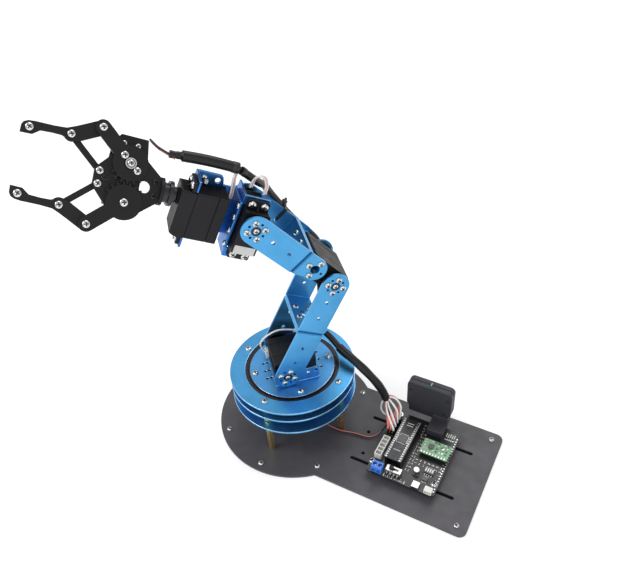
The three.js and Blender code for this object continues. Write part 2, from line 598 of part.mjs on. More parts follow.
function buildController() {
  const seat = BOARD_TOP + GAP;
  const standoff = (x, y) => rod(2.6, DECK + GAP, BOARD.z + 0.2, 8, x, y);
  piece(arm, 'controller_board', paint.board, [
    prism(outline(roundedRect(...BOARD.x, ...BOARD.y, 2.5)), BOARD.z, BOARD_TOP),
    ...[98.2, 157].flatMap((x) => [-SLOT.y, SLOT.y].map((y) => standoff(x, y))),
  ]);
  const strip = (x) => box([x - 1.3, x + 1.3], [-23.5, 26], [seat, seat + 8.6]);
  piece(arm, 'processor_board', paint.board, [
    box([106.6, 123.8], [-24, 26.4], [seat + 8.5, seat + 10.1]), strip(108.6), strip(121.8),
  ]);
  piece(arm, 'radio_board', paint.greenBoard, [
    box([132.5, 159.4], [-1.5, 15.5], [seat + 4.2, seat + 5.4]),
    box([134, 158], [-1.2, 1.4], [seat, seat + 4.4]),
  ]);
  piece(arm, 'power_terminal', paint.bluePlastic, [box([99.6, 110], [-37.6, -29.8], [seat, seat + 8])]);
  piece(arm, 'bus_connector', paint.whitePlastic,
    [box([96.4, 103.4], [-22.8, 0.6], [seat, seat + 7])],
    [box([98, 104.4], [-21.5, -0.7], [seat + 2, seat + 8])]);
  piece(arm, 'pin_header', paint.plastic, [box([95.6, 103.6], [4.6, 29.6], [seat, seat + 7.5])]);
  piece(arm, 'slide_switch', paint.steel,
    [box([112.2, 127], [-33.4, -27], [seat, seat + 5.4])],
    [box([115, 124.2], [-31.4, -29], [seat + 2, seat + 6])]);
  piece(arm, 'slide_switch_knob', paint.plastic,
    [box([115.4, 119.6], [-31.1, -29.3], [seat + 2.3, seat + 8.6])]);

  const body = roundedRect(103, 147.6, DECK + 22, DECK + 55.5, 5, 5);
  const foot = roundedRect(105, 145.6, DECK + 14, DECK + 25, 2);
  const plug = box([130, 147], [22.4, 41], [seat, seat + 8.2]);
  piece(arm, 'wireless_receiver', paint.plastic, [
    sidePrism(outline(body), 39.2, 49.6), sidePrism(outline(foot), 40, 48.8), plug,
  ]);
}

// ---- wiring ------------------------------------------------------------------------------

// routes in the arm's plane are given as [forwards, out of plane, up from the deck]
const inPlane = ([x, y, z]) => [x, y, z + DECK];

const gripperLeadRoute = [
  [80.7, -25, 308.4], [79.2, -19.5, 308.8], [76.5, -14.5, 307.5], [72, -12.3, 304],
];
const wristSleeveRoute = [
  [70.2, -12, 302.9], [58, -12, 298.2], [45, -12, 292.8], [33, -12, 287], [21.5, -12, 281],
];
const forearmSleeveRoute = [
  [19.9, -12.2, 279.0], [13.4, -14.2, 270.8], [6.3, -20.5, 260.5], [1.6, -26.7, 253.4], [-4.6, -31.1, 239.6],
  [-17.8, -31.4, 216.6], [-31.4, -31.6, 198],
];
const elbowSleeveRoute = [
  [-32.6, -31.8, 196.2], [-38.5, -32.2, 187], [-42.5, -32.4, 176], [-42.5, -32, 163.5],
];
const upperArmSleeveRoute = [
  [-42.3, -32, 161.5], [-40, -30.5, 147], [-39, -27, 129], [-38, -21.5, 110], [-37, -16, 93],
];
const baseSleeveRoute = [
  [18.2, 36.2, 87.3], [26, 35, 82.8], [38, 29.5, 79.6], [53, 24, 77.5], [66, 24, 67.5],
  [76, 26.4, 54], [82, 29, 41], [84.8, 31, 30],
];
const panLeadRoute = [
  [12.5, 0, 22], [20, -2, 12], [32, -4, 4.2], [50, -5, 2.2], [66, -1.6, 2.2], [80, 0.3, 2.2],
  [87, 7, 2.8], [90.6, 15, 6], [92.6, 18.5, 12.5],
];

function buildWiring() {
  const run = (parent, name, route, diameter, sides, steps, material = paint.sleeve) =>
    piece(parent, name, material, [cord(route.map(inPlane), diameter, sides, steps)]);
  run(armPlane, 'gripper_servo_lead', gripperLeadRoute, SLEEVE.lead, 8, 8, paint.wire);
  run(armPlane, 'wrist_sleeve', wristSleeveRoute, SLEEVE.wrist, 10, 6);
  run(armPlane, 'forearm_sleeve', forearmSleeveRoute, SLEEVE.arm, 10, 12);
  run(armPlane, 'elbow_sleeve', elbowSleeveRoute, SLEEVE.arm, 10, 6);
  run(armPlane, 'upper_arm_sleeve', upperArmSleeveRoute, SLEEVE.arm, 10, 8);
  run(arm, 'base_sleeve', baseSleeveRoute, SLEEVE.base, 10, 12);
  run(arm, 'pan_servo_lead', panLeadRoute, SLEEVE.thin, 8, 18, paint.wire);
}

buildBase();
buildTurntable();
buildUpperArm();
buildForearm();
buildWrist();
buildHand();
buildGripper();
buildController();
buildWiring();

export default arm;
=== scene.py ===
# Desktop robot arm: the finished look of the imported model. Helpers work in millimetres in a part's
# own frame, and every piece is placed in the row frame in metres.
import math
import random

import bmesh
import bpy
from mathutils import Matrix, Vector


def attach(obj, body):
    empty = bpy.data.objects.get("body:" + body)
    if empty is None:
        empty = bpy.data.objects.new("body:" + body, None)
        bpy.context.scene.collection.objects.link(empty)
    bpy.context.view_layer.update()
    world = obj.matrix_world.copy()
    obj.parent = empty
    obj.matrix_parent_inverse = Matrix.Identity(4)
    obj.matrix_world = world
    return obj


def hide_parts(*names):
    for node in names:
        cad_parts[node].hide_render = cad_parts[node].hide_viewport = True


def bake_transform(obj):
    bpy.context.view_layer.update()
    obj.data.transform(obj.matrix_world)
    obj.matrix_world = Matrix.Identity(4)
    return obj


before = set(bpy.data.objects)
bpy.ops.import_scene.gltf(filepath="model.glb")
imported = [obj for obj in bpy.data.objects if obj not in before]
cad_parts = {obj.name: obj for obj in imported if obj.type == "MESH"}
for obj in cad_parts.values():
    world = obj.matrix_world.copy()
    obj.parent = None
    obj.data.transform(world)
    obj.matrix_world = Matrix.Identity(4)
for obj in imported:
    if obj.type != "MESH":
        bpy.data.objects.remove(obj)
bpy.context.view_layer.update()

# ---- frames ----

MM = 0.001
DECK = 2.0                                   # upper face of the base plate
ARM_TURN, HAND_TURN = 223, 33.4              # the rest pose: the arm's heading, the hand's roll
UPPER_SLOPE, FORE_SLOPE, HAND_SLOPE = 117.2, 49.86, 26.85
UPPER_LENGTH, FORE_LENGTH = 107.6, 91.8      # from joint to joint
SHOULDER_X, SHOULDER_Z = 9, DECK + 81.4
GEAR_X, GEAR_Y = 96.7, 14.1                  # axes of the two gear links, ahead of the wrist


def rot(degrees, axis):
    return Matrix.Rotation(math.radians(degrees), 4, axis)


def move(x, y, z):
    return Matrix.Translation((x, y, z))


def basis(x, y, z):
    return Matrix((x, y, z)).transposed().to_4x4()


WORLD = Matrix.Identity(4)
ARM = rot(ARM_TURN, "Z")
SHOULDER = ARM @ move(SHOULDER_X, 0, SHOULDER_Z)
UPPER_ARM = SHOULDER @ rot(-UPPER_SLOPE, "Y")
FOREARM = UPPER_ARM @ move(UPPER_LENGTH, 0, 0) @ rot(UPPER_SLOPE - FORE_SLOPE, "Y")
WRIST = FOREARM @ move(FORE_LENGTH, 0, 0) @ rot(FORE_SLOPE - HAND_SLOPE, "Y")
ROLL = WRIST @ move(0, 0, 1.1)
HAND = ROLL @ rot(HAND_TURN, "X")
GRIPPER = HAND @ rot(90, "X")    # X forwards, Y across, Z away from the gripper's front


def servo_frame(parent, nose_angle):
    """A joint servo's frame: output axis along the parent's Y, short end at nose_angle in its XZ plane."""
    a = math.radians(nose_angle)
    nose, axis = Vector((math.cos(a), 0, math.sin(a))), Vector((0, 1, 0))
    return parent @ move(0, 18.5, 0) @ basis(nose, axis.cross(nose), axis)


def roll_frame(x):
    return ROLL @ move(x, 0, 0) @ basis((0, 0, 1), (0, -1, 0), (1, 0, 0))


GRIP_SERVO = HAND @ move(GEAR_X, 0.2, GEAR_Y) @ basis((0, 0, 1), (1, 0, 0), (0, 1, 0))


# ---- materials ----


class Nodes:
    """A Principled material whose colour, roughness and relief come from noise in object space."""

    def __init__(self, name, color, rough, metal=0.0, **sockets):
        self.material = bpy.data.materials.new(name)
        self.material.use_nodes = True
        self.tree = self.material.node_tree
        self.shader = self.tree.nodes["Principled BSDF"]
        self.shader.inputs["Base Color"].default_value = (*color, 1)
        self.shader.inputs["Roughness"].default_value = rough
        self.shader.inputs["Metallic"].default_value = metal
        for key, value in sockets.items():
            self.shader.inputs[key.replace("_", " ")].default_value = value
        self.color, self.rough = color, rough
        self.coords = self.tree.nodes.new("ShaderNodeTexCoord").outputs["Object"]

    def add(self, kind, inputs, **settings):
        """A new node with its settings; each input takes a value, or the output it is linked to."""
        node = self.tree.nodes.new("ShaderNode" + kind)
        for key, value in settings.items():
            setattr(node, key, value)
        for key, value in inputs.items():
            if isinstance(value, bpy.types.NodeSocket):
                self.tree.links.new(value, node.inputs[key])
            else:
                node.inputs[key].default_value = value
        return node

    def drive(self, socket, output):
        self.tree.links.new(output, self.shader.inputs[socket])
        return self

    def stretched(self, scale):
        return self.add("Mapping", {"Vector": self.coords, "Scale": scale}).outputs["Vector"]

    def noise(self, scale, detail=3.0, vector=None):
        inputs = {"Scale": scale, "Detail": detail, "Vector": vector or self.coords}
        return self.add("TexNoise", inputs).outputs["Fac"]

    def remap(self, fac, low, high):
        inputs = {"From Min": 0.3, "From Max": 0.7, "To Min": low, "To Max": high, "Value": fac}
        return self.add("MapRange", inputs).outputs["Result"]

    def mottle(self, fac, amount):
        """The base colour drifts between a darker and a lighter shade of itself."""
        dark, light = ((*[min(1, c * (1 + way * amount)) for c in self.color], 1) for way in (-1, 1))
        mix = self.add("Mix", {"A": dark, "B": light, "Factor": fac}, data_type="RGBA")
        return self.drive("Base Color", mix.outputs["Result"])

    def polish(self, fac, spread):
        return self.drive("Roughness", self.remap(fac, self.rough - spread, self.rough + spread))

    def relief(self, fac, strength, depth):
        bump = self.add("Bump", {"Strength": strength, "Distance": depth, "Height": fac})
        return self.drive("Normal", bump.outputs["Normal"])


def anodised(name, color, rough):
    """Bead-blasted and dyed aluminium: fine satin grain, faint clouding."""
    m = Nodes(name, color, rough, 0.92)
    m.mottle(m.remap(m.noise(38, 4), 0, 1), 0.10)
    m.polish(m.noise(140, 4), 0.05)
    m.relief(m.noise(2600, 2), 0.10, 0.00004)
    return m.material


def coated(name, color, rough, grain=1900, depth=0.00006, shine=0.5):
    """Powder coat or moulded plastic: fine even grain, slight handling marks."""
    m = Nodes(name, color, rough, Specular_IOR_Level=shine)
    m.mottle(m.remap(m.noise(55, 4), 0, 1), 0.12)
    m.polish(m.noise(90, 5), 0.07)
    m.relief(m.noise(grain, 3), 0.25, depth)
    return m.material


def turned_metal(name, color, rough):
    """Machined metal: streaks along one way and a soft cloudy polish."""
    m = Nodes(name, color, rough, 1.0)
    m.mottle(m.remap(m.noise(300, 3), 0, 1), 0.12)
    m.polish(m.noise(500, 3, m.stretched((1, 1, 12))), 0.08)
    m.relief(m.noise(1500, 2, m.stretched((1, 1, 9))), 0.12, 0.00004)
    return m.material


def braid(name, color, around, pitch):
    """Woven nylon sleeve: two crossed families of strands, laid out along the sleeve's own length."""
    m = Nodes(name, color, 0.30, Specular_IOR_Level=0.35)
    uv = m.add("TexCoord", {}).outputs["UV"]
    strands = []
    for lean in (1, -1):
        turn = (0, 0, math.atan2(lean * around, pitch))
        mapping = m.add("Mapping", {"Vector": uv, "Rotation": turn})
        wave = {"Scale": math.hypot(around, pitch) / 3.2, "Vector": mapping.outputs["Vector"]}
        strands.append(m.add("TexWave", wave).outputs["Fac"])
    weave = m.add("Math", dict(enumerate(strands)), operation="MAXIMUM")
    m.mottle(weave.outputs[0], 0.45)
    m.relief(weave.outputs[0], 0.30, 0.00015)
    return m.material


BLUE = anodised("blue_anodised", (0.085, 0.35, 0.66), 0.34)
BLUE_MID = anodised("blue_anodised_mid", (0.095, 0.33, 0.66), 0.38)
BLUE_DEEP = anodised("blue_anodised_deep", (0.04, 0.18, 0.52), 0.30)
# The lighter metallic colours on the bevel faces of the blue sheet are painted edge highlights.
BLUE_EDGE_HIGHLIGHT = turned_metal("blue_edge_painted_highlight", (0.30, 0.55, 0.80), 0.22)
DISC_EDGE_HIGHLIGHT = turned_metal("disc_edge_painted_highlight", (0.40, 0.64, 0.86), 0.20)
PLATE_BLACK = coated("powder_coat", (0.070, 0.066, 0.074), 0.46, 1300, 0.00006, shine=0.4)
LINK_BLACK = coated("black_anodised", (0.009, 0.008, 0.008), 0.42, 2200, 0.00003, shine=0.25)
# The lighter edge colour on the black links' bevels is a painted edge highlight.
LINK_EDGE_HIGHLIGHT = turned_metal("link_edge_painted_highlight", (0.30, 0.30, 0.30), 0.35)
CASE = coated("servo_case", (0.009, 0.009, 0.011), 0.45, 1500, 0.00005, shine=0.22)
# Near-black: the dark seams of the servo and receiver cases, and painted shade in screw holes, in screw
# recesses and under the plate.
SEAM_AND_SHADE_BLACK = coated("seam_and_painted_shade", (0.003, 0.003, 0.004), 0.6, shine=0.1)
RECEIVER = coated("receiver_case", (0.033, 0.033, 0.040), 0.5, 1500, 0.00007, shine=0.4)
HORN_METAL = turned_metal("horn_metal", (0.05, 0.05, 0.056), 0.32)
STEEL = turned_metal("bright_steel", (0.70, 0.70, 0.69), 0.20)
# Dark metal: the real colour of the servos' lid screws, and painted shade inside the cross recesses of screw
# heads.
DARK_SCREW_AND_RECESS_SHADE = turned_metal("dark_screw_and_recess_shade", (0.07, 0.07, 0.07), 0.45)
BRASS = turned_metal("brass", (0.80, 0.62, 0.28), 0.30)
SOLDER_MASK = coated("solder_mask", (0.010, 0.011, 0.013), 0.30, 900, 0.00003)
GREEN_MASK = coated("green_mask", (0.17, 0.36, 0.19), 0.35, 900, 0.00003)
SILK = coated("silkscreen", (0.52, 0.52, 0.52), 0.6)
TIN = turned_metal("tinned", (0.52, 0.52, 0.51), 0.30)
GOLD = turned_metal("gold_pad", (0.75, 0.55, 0.22), 0.25)
CHIP = coated("chip", (0.085, 0.085, 0.090), 0.40)
CERAMIC = coated("ceramic", (0.50, 0.42, 0.34), 0.45)
WHITE = coated("white_nylon", (0.74, 0.73, 0.69), 0.42, 900)
BLUE_PLASTIC = coated("blue_terminal", (0.05, 0.19, 0.68), 0.35, 900)
BLACK_PLASTIC = coated("black_nylon", (0.010, 0.010, 0.011), 0.4, 900)
LABEL = coated("blank_label", (0.62, 0.62, 0.60), 0.4, 700, 0.00002)
LAMP = coated("green_lamp", (0.10, 0.55, 0.16), 0.3)
WIRES = {
    "white": coated("white_wire", (0.82, 0.80, 0.78), 0.4, 600),
    "red": coated("red_wire", (0.62, 0.20, 0.18), 0.4, 600),
    "black": coated("black_wire", (0.015, 0.013, 0.013), 0.4, 600),
}

# ---- outlines and solids, in millimetres ----


def arc(x, y, r, start, end, steps):
    turn = [math.radians(start + (end - start) * i / steps) for i in range(steps + 1)]
    return [(x + r * math.cos(a), y + r * math.sin(a)) for a in turn]


def circle(x, y, r, steps=32):
    return arc(x, y, r, 0, 360, steps)[:-1]


def rounded(x0, x1, y0, y1, r, steps=6):
    corners = ((x1 - r, y0 + r, -90), (x1 - r, y1 - r, 0), (x0 + r, y1 - r, 90), (x0 + r, y0 + r, 180))
    return [p for x, y, a in corners for p in arc(x, y, r, a, a + 90, steps)]


def slot(x0, x1, y, r):
    return rounded(x0 - r, x1 + r, y - r, y + r, r * 0.999, 5)


def linked(name, data):
    """A new object in the scene."""
    obj = bpy.data.objects.new(name, data)
    bpy.context.scene.collection.objects.link(obj)
    return obj


def evaluated(holder, *spent):
    """The solid that an object's modifiers or curve give; the object and the spent ones are removed."""
    graph = bpy.context.evaluated_depsgraph_get()
    mesh = bpy.data.meshes.new_from_object(holder.evaluated_get(graph))
    out = bmesh.new()
    out.from_mesh(mesh)
    bpy.data.meshes.remove(mesh)
    for used in (holder, *spent):
        data = used.data
        store = bpy.data.curves if isinstance(data, bpy.types.Curve) else bpy.data.meshes
        bpy.data.objects.remove(used)
        store.remove(data)
    return out


def plate(loops, z0, z1, bevel=0.2):
    """Outline with holes, filled from z0 to z1, with its edges rounded. Edge faces take slot 1."""
    curve = bpy.data.curves.new("plate", "CURVE")
    curve.dimensions, curve.fill_mode = "2D", "BOTH"
    curve.extrude = (z1 - z0) / 2 - bevel
    curve.bevel_depth, curve.bevel_resolution, curve.offset = bevel, 2, -bevel
    for loop in loops:
        spline = curve.splines.new("POLY")
        spline.points.add(len(loop) - 1)
        for point, (x, y) in zip(spline.points, loop):
            point.co = (x, y, 0, 1)
        spline.use_cyclic_u = True
    bm = evaluated(linked("plate", curve))
    bmesh.ops.remove_doubles(bm, verts=bm.verts, dist=1e-4)
    bmesh.ops.recalc_face_normals(bm, faces=bm.faces)
    bmesh.ops.translate(bm, verts=bm.verts, vec=(0, 0, (z0 + z1) / 2))
    for face in bm.faces:
        slant = abs(face.normal.z)
        face.material_index = 1 if 0.05 < slant < 0.98 else 0
    return bm


def block(x, y, z, bevel=0.3, corner=0.5):
    return plate([rounded(*x, *y, max(corner, bevel + 0.02))], *z, bevel)


def box(x, y, z, index=None, bevel=0.3, corner=0.5, matrix=WORLD):
    """A block as a part for piece()."""
    return block(x, y, z, bevel, corner), matrix, index


def pad(x, y, half_x, half_y, z0, z1, index, bevel=0.03, corner=0.05):
    """A small block round (x, y)."""
    return box((x - half_x, x + half_x), (y - half_y, y + half_y), (z0, z1), index, bevel, corner)


def turned(profile, steps=48):
    """A profile of (radius, height) pairs turned about Z."""
    bm = bmesh.new()
    rings = []
    for r, z in profile:
        count = 1 if r < 1e-6 else steps
        rings.append([bm.verts.new((x, y, z)) for x, y in circle(0, 0, max(r, 1e-9), steps)[:count]])
    for low, high in zip(rings, rings[1:]):
        for i in range(steps):
            n = i + 1
            ring = (low[i % len(low)], low[n % len(low)], high[n % len(high)], high[i % len(high)])
            corners = list(dict.fromkeys(ring))
            if len(corners) > 2:
                bm.faces.new(corners)
    bmesh.ops.recalc_face_normals(bm, faces=bm.faces)
    return bm


def ring(inner, outer, low, high, steps):
    return turned([(inner, low), (outer, low), (outer, high), (inner, high), (inner, low)], steps)


def peg(r, low, high, steps):
    return turned([(0, low), (r, low), (r, high), (0, high)], steps)


def smooth_route(points, count):
    """Points evenly spread on a Catmull-Rom curve through the given ones."""
    pts = [Vector(p) for p in points]
    pts = [pts[0] * 2 - pts[1], *pts, pts[-1] * 2 - pts[-2]]
    fine = []
    for a, b, c, d in zip(pts, pts[1:], pts[2:], pts[3:]):
        for i in range(24):
            t = i / 24
            fine.append(0.5 * (2 * b + (c - a) * t + (2 * a - 5 * b + 4 * c - d) * t * t
                               + (3 * b - a - 3 * c + d) * t ** 3))
    fine.append(pts[-2])
    length = [0.0]
    for p, q in zip(fine, fine[1:]):
        length.append(length[-1] + (q - p).length)
    out, j = [], 0
    for i in range(count + 1):
        want = length[-1] * i / count
        while j < len(fine) - 2 and length[j + 1] < want:
            j += 1
        span = length[j + 1] - length[j]
        out.append(fine[j].lerp(fine[j + 1], (want - length[j]) / span if span else 0))
    return out, length[-1]


def tube(points, radius, sides=20, step=1.5, shape=None):
    """A closed round cord through the points; shape(t) scales its radius along its length."""
    total = sum((Vector(q) - Vector(p)).length for p, q in zip(points, points[1:]))
    route, length = smooth_route(points, max(6, int(total / step)))
    bm = bmesh.new()
    uv = bm.loops.layers.uv.new("UVMap")
    tangent = (route[1] - route[0]).normalized()
    side = tangent.orthogonal().normalized()
    rings = []
    for i, p in enumerate(route):
        ahead = (route[min(i + 1, len(route) - 1)] - route[max(i - 1, 0)]).normalized()
        side = (side - ahead * side.dot(ahead)).normalized()
        up = ahead.cross(side)
        r = radius * (shape(i / (len(route) - 1)) if shape else 1)
        turn = [2 * math.pi * k / sides for k in range(sides)]
        rings.append([bm.verts.new(p + (side * math.cos(a) + up * math.sin(a)) * r) for a in turn])
    for i, (low, high) in enumerate(zip(rings, rings[1:])):
        for k in range(sides):
            n = (k + 1) % sides
            face = bm.faces.new((low[k], low[n], high[n], high[k]))
            around = (k / sides, (k + 1) / sides, (k + 1) / sides, k / sides)
            along = (i, i, i + 1, i + 1)
            for loop, u, v in zip(face.loops, around, along):
                loop[uv].uv = (u, v / (len(route) - 1) * length / 10)
    bm.faces.new(rings[0][::-1])
    bm.faces.new(rings[-1])
    bmesh.ops.recalc_face_normals(bm, faces=bm.faces)
    return bm


def as_object(bm):
    mesh = bpy.data.meshes.new("work")
    bm.to_mesh(mesh)
    return linked("work", mesh)


def boolean(bm, tool, operation="DIFFERENCE"):
    """bm with tool cut away from it, or kept only where tool is."""
    holder, cutter = as_object(bm), as_object(tool)
    modifier = holder.modifiers.new("cut", "BOOLEAN")
    modifier.operation, modifier.object, modifier.solver = operation, cutter, "EXACT"
    return evaluated(holder, cutter)


def softened(bm, width, angle=35):
    """The same solid with its sharp edges rounded off; the new faces take slot 1."""
    bmesh.ops.remove_doubles(bm, verts=bm.verts, dist=1e-4)
    bmesh.ops.dissolve_limit(bm, angle_limit=math.radians(1), verts=bm.verts, edges=bm.edges)
    holder = as_object(bm)
    modifier = holder.modifiers.new("soften", "BEVEL")
    modifier.width, modifier.segments, modifier.limit_method = width, 2, "ANGLE"
    modifier.angle_limit, modifier.material = math.radians(angle), 1
    holder.data.materials.append(None)
    holder.data.materials.append(None)
    return evaluated(holder)


def copy_of(bm, matrix=WORLD, index=None):
    out = bm.copy()
    bmesh.ops.transform(out, matrix=matrix, verts=out.verts)
    if index is not None:
        for face in out.faces:
            face.material_index = index
    return out


def piece(name, parts, materials, body, replaces=(), angle=35, flat=True, bend=None):
    """One object from (solid, frame) or (solid, frame, material index) parts. It rides on a body; when bend
    is given it rides on none and keeps its place in the row frame, and the bodies and places in bend are not
    used."""
    mesh = bpy.data.meshes.new(name)
    whole = bmesh.new()
    for part in parts:
        bm, matrix, index = (*part, None)[:3]
        placed = copy_of(bm, Matrix.Scale(MM, 4) @ matrix, index)
        part_mesh = bpy.data.meshes.new("part")
        placed.to_mesh(part_mesh)
        whole.from_mesh(part_mesh)
        bpy.data.meshes.remove(part_mesh)
        placed.free()
    whole.to_mesh(mesh)
    whole.free()
    for material in materials:
        mesh.materials.append(material)
    mesh.shade_smooth()
    mesh.set_sharp_from_angle(angle=math.radians(angle))
    obj = linked(name, mesh)
    if not bend:
        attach(obj, body)
    if replaces:
        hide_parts(*replaces)
    if bend:
        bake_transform(obj)
    if flat:
        even = obj.modifiers.new("even_shading", "WEIGHTED_NORMAL")
        even.keep_sharp, even.weight = True, 100
    return obj


# ---- fasteners ----


def screw_head(radius=2.75, height=1.9):
    """Pan head with a cross recess, seated on z = 0. The recess takes slot 1, a dark colour that is painted
    shade.
    """
    dome = [(radius * math.cos(math.radians(a)), height * (0.35 + 0.65 * math.sin(math.radians(a))))
            for a in (0, 20, 40, 60, 75)]
    head = turned([(0, -0.4), (radius * 0.95, -0.4), (radius, 0.0), *dome, (0, height)], 28)
    for face in head.faces:
        face.material_index = 0
    long, thin = radius * 0.62, radius * 0.17
    for x, y in ((long, thin), (thin, long)):
        blade = plate([rounded(-x, x, -y, y, thin * 0.6, 2)], height * 0.35, height + 1, 0.05)
        for face in blade.faces:
            face.material_index = 1
        head = boolean(head, blade)
    for face in head.faces:
        middle = face.calc_center_median()
        inside = math.hypot(middle.x, middle.y) < long * 0.95 and face.normal.z < 0.5
        deep = middle.z < height * 0.5 and math.hypot(middle.x, middle.y) < long * 0.95
        face.material_index = 1 if inside or deep else 0
    return head


HEAD = screw_head()
NUT = turned([(0, 0), (3.1, 0), (3.1, 2.0), (2.6, 2.3), (1.3, 2.3), (1.3, 2.9), (0, 2.9)], 6)


def screws(name, places, body, size=1.0, spin=17, metals=None):
    """Screw heads on a body at (frame, x, y, z, axis) places; axis is the way the head faces."""
    turns = {
        "+z": WORLD, "-z": rot(180, "X"), "+y": rot(-90, "X"), "-y": rot(90, "X"),
        "+x": rot(90, "Y"), "-x": rot(-90, "Y"),
    }
    parts = []
    for i, (matrix, x, y, z, axis) in enumerate(places):
        turn = turns[axis] @ rot(spin * (3 * i + 1), "Z") @ Matrix.Diagonal((size, size, size, 1))
        parts.append((HEAD, matrix @ move(x, y, z) @ turn))
    return piece(name, parts, metals or [STEEL, DARK_SCREW_AND_RECESS_SHADE], body, angle=40)


# ---- brackets ----

SHEET = 2.0
U_HALF, U_WIDTH, HORN_HOLE, SPARE_RING = 26.46, 12.2, 4.0, 7.0
SIDE_HOLES = (18, 36)


def u_bracket(reach, side_holes=SIDE_HOLES, spare_from=45, end_r=U_WIDTH):
    """Folded U bracket: web at x = 0, arms to a round end, with a bend radius at the folds."""
    bend, beyond = 2.6, reach + 20
    ribbon = [
        (beyond, -U_HALF), (beyond, -U_HALF + SHEET),
        *arc(bend, -U_HALF + bend, bend - SHEET, 270, 180, 4),
        *arc(bend, U_HALF - bend, bend - SHEET, 180, 90, 4),
        (beyond, U_HALF - SHEET), (beyond, U_HALF),
        *arc(bend, U_HALF - bend, bend, 90, 180, 6), *arc(bend, -U_HALF + bend, bend, 180, 270, 6),
    ]
    body = plate([ribbon], -U_WIDTH, U_WIDTH, 0.01)
    rise = U_WIDTH - end_r
    if rise:
        lean = math.degrees(math.asin(2 * rise / math.hypot(reach, U_WIDTH + rise)))
        side = [(-1, -U_WIDTH - 0.2), *arc(reach, rise, end_r, -90 - lean, 90, 40), (-1, U_WIDTH)]
    else:
        side = [(-1, -U_WIDTH - 1), (reach, -U_WIDTH - 1), *arc(reach, 0, end_r, -90, 90, 40),
                (reach, U_WIDTH + 1), (-1, U_WIDTH + 1)]
    holes = [circle(reach, rise, HORN_HOLE, 36)]
    spare = [arc(reach, rise, SPARE_RING, spare_from + 90 * a, 0, 1)[0] for a in range(4)]
    holes += [circle(x, y, 1.1, 14) for x, y in spare]
    holes += [circle(reach - back, 0, 1.7, 20) for back in side_holes]
    outline = copy_of(plate([side, *holes], -40, 40, 0.01), rot(90, "X"))
    body = boolean(body, outline, "INTERSECT")
    web = copy_of(peg(HORN_HOLE, -1, 4, 32), rot(90, "Y"))
    return softened(boolean(body, web), 0.28)


# ---- servos ----

TAIL, NOSE, HALF, HEIGHT, EAR = 30, 10, 10, 37, 7.2


def servo_parts(matrix, ears=True, label=False, second_shaft=False):
    """A servo's case in three mouldings with seams between them, its ears, shaft boss and lid screws."""
    def layer(z0, z1, inset=0.0, bevel=0.45):
        return plate([rounded(-TAIL + inset, NOSE - inset, -HALF + inset, HALF - inset, 1.3)], z0, z1, bevel)

    corner = [(-TAIL - 1, -6.7), (-TAIL + 4, 1.7), (-TAIL - 1, 2)]
    chamfer = copy_of(plate([corner], -12, 12, 0.01), rot(90, "X"))
    top = softened(boolean(layer(-11.6, 0, 0, 0.02), chamfer), 0.5)
    parts = [
        (top, matrix, 0), (layer(-28.6, -11.9), matrix, 0), (layer(-HEIGHT, -28.9), matrix, 0),
        (layer(-HEIGHT + 1, -1.2, 0.7, 0.1), matrix @ move(0.8, 0, 0), 1),
        (turned([(0, -0.5), (6.4, -0.5), (6.4, 0.9), (5.7, 1.3), (3.4, 1.55), (0, 1.55)]), matrix, 0),
    ]
    if ears:
        for x0, x1 in ((-TAIL - EAR, -TAIL + 0.8), (NOSE - 0.8, NOSE + EAR)):
            holes = [circle((x0 + x1) / 2, y, 2.0, 20) for y in (-5, 5)]
            parts.append((plate([rounded(x0, x1, -9.1, 9.1, 1.6), *holes], -10, -7.5, 0.3), matrix, 0))
            rib = [(0, 0), (3.0, 0), (0, 3.2)]
            face, way = (x1 - 0.8, -1) if x0 < -20 else (x0 + 0.8, 1)
            rib_plate = copy_of(plate([rib], -0.6, 0.6, 0.05), rot(90, "X"))
            parts.append((rib_plate, matrix @ move(face, 0, -7.5) @ Matrix.Diagonal((way, 1, 1, 1)), 0))
    if second_shaft:
        stub = turned([(0, 0.5), (5.6, 0.5), (5.6, -0.9), (0, -1.3)])
        parts.append((stub, matrix @ move(0, 0, -HEIGHT), 0))
    if label:
        parts.append((plate([rounded(-27.6, -20.2, -8.6, 8.6, 0.8)], -0.3, 0.12, 0.05), matrix, 2))
    for x in (-TAIL + 3.2, NOSE - 3.2):
        for y in (-HALF + 3.2, HALF - 3.2):
            lid = turned([(0, 0.4), (1.5, 0.4), (1.5, 0.0), (1.2, -0.12), (0, -0.12)], 16)
            parts.append((lid, matrix @ move(x, y, -HEIGHT), 3))
    return parts


SERVO_LOOK = [CASE, SEAM_AND_SHADE_BLACK, LABEL, DARK_SCREW_AND_RECESS_SHADE]


def servo(name, matrix, body, **options):
    return piece(f"{name}_case", servo_parts(matrix, **options), SERVO_LOOK, body, [name])


# ---- base ----

LOWER, MIDDLE, TOP = DECK + 42.0, DECK + 58.2, DECK + 68.4      # upper faces of the three discs
DISC_R, BORE_R, TURNTABLE_R = 60, 45.1, 40.6
COLUMN_R, RIM_SCREW_R = 50, 71
RIM_ANGLES, COLUMN_ANGLES = (45, 135, 180, 225, 270, 315), (0, 90, 180, 270)
END_SCREWS = [(187, -50.3), (187, 50.3)]


def spoke(r, degrees):
    """The point at a radius and an angle from the slewing axis."""
    return arc(0, 0, r, degrees, degrees, 1)[0]


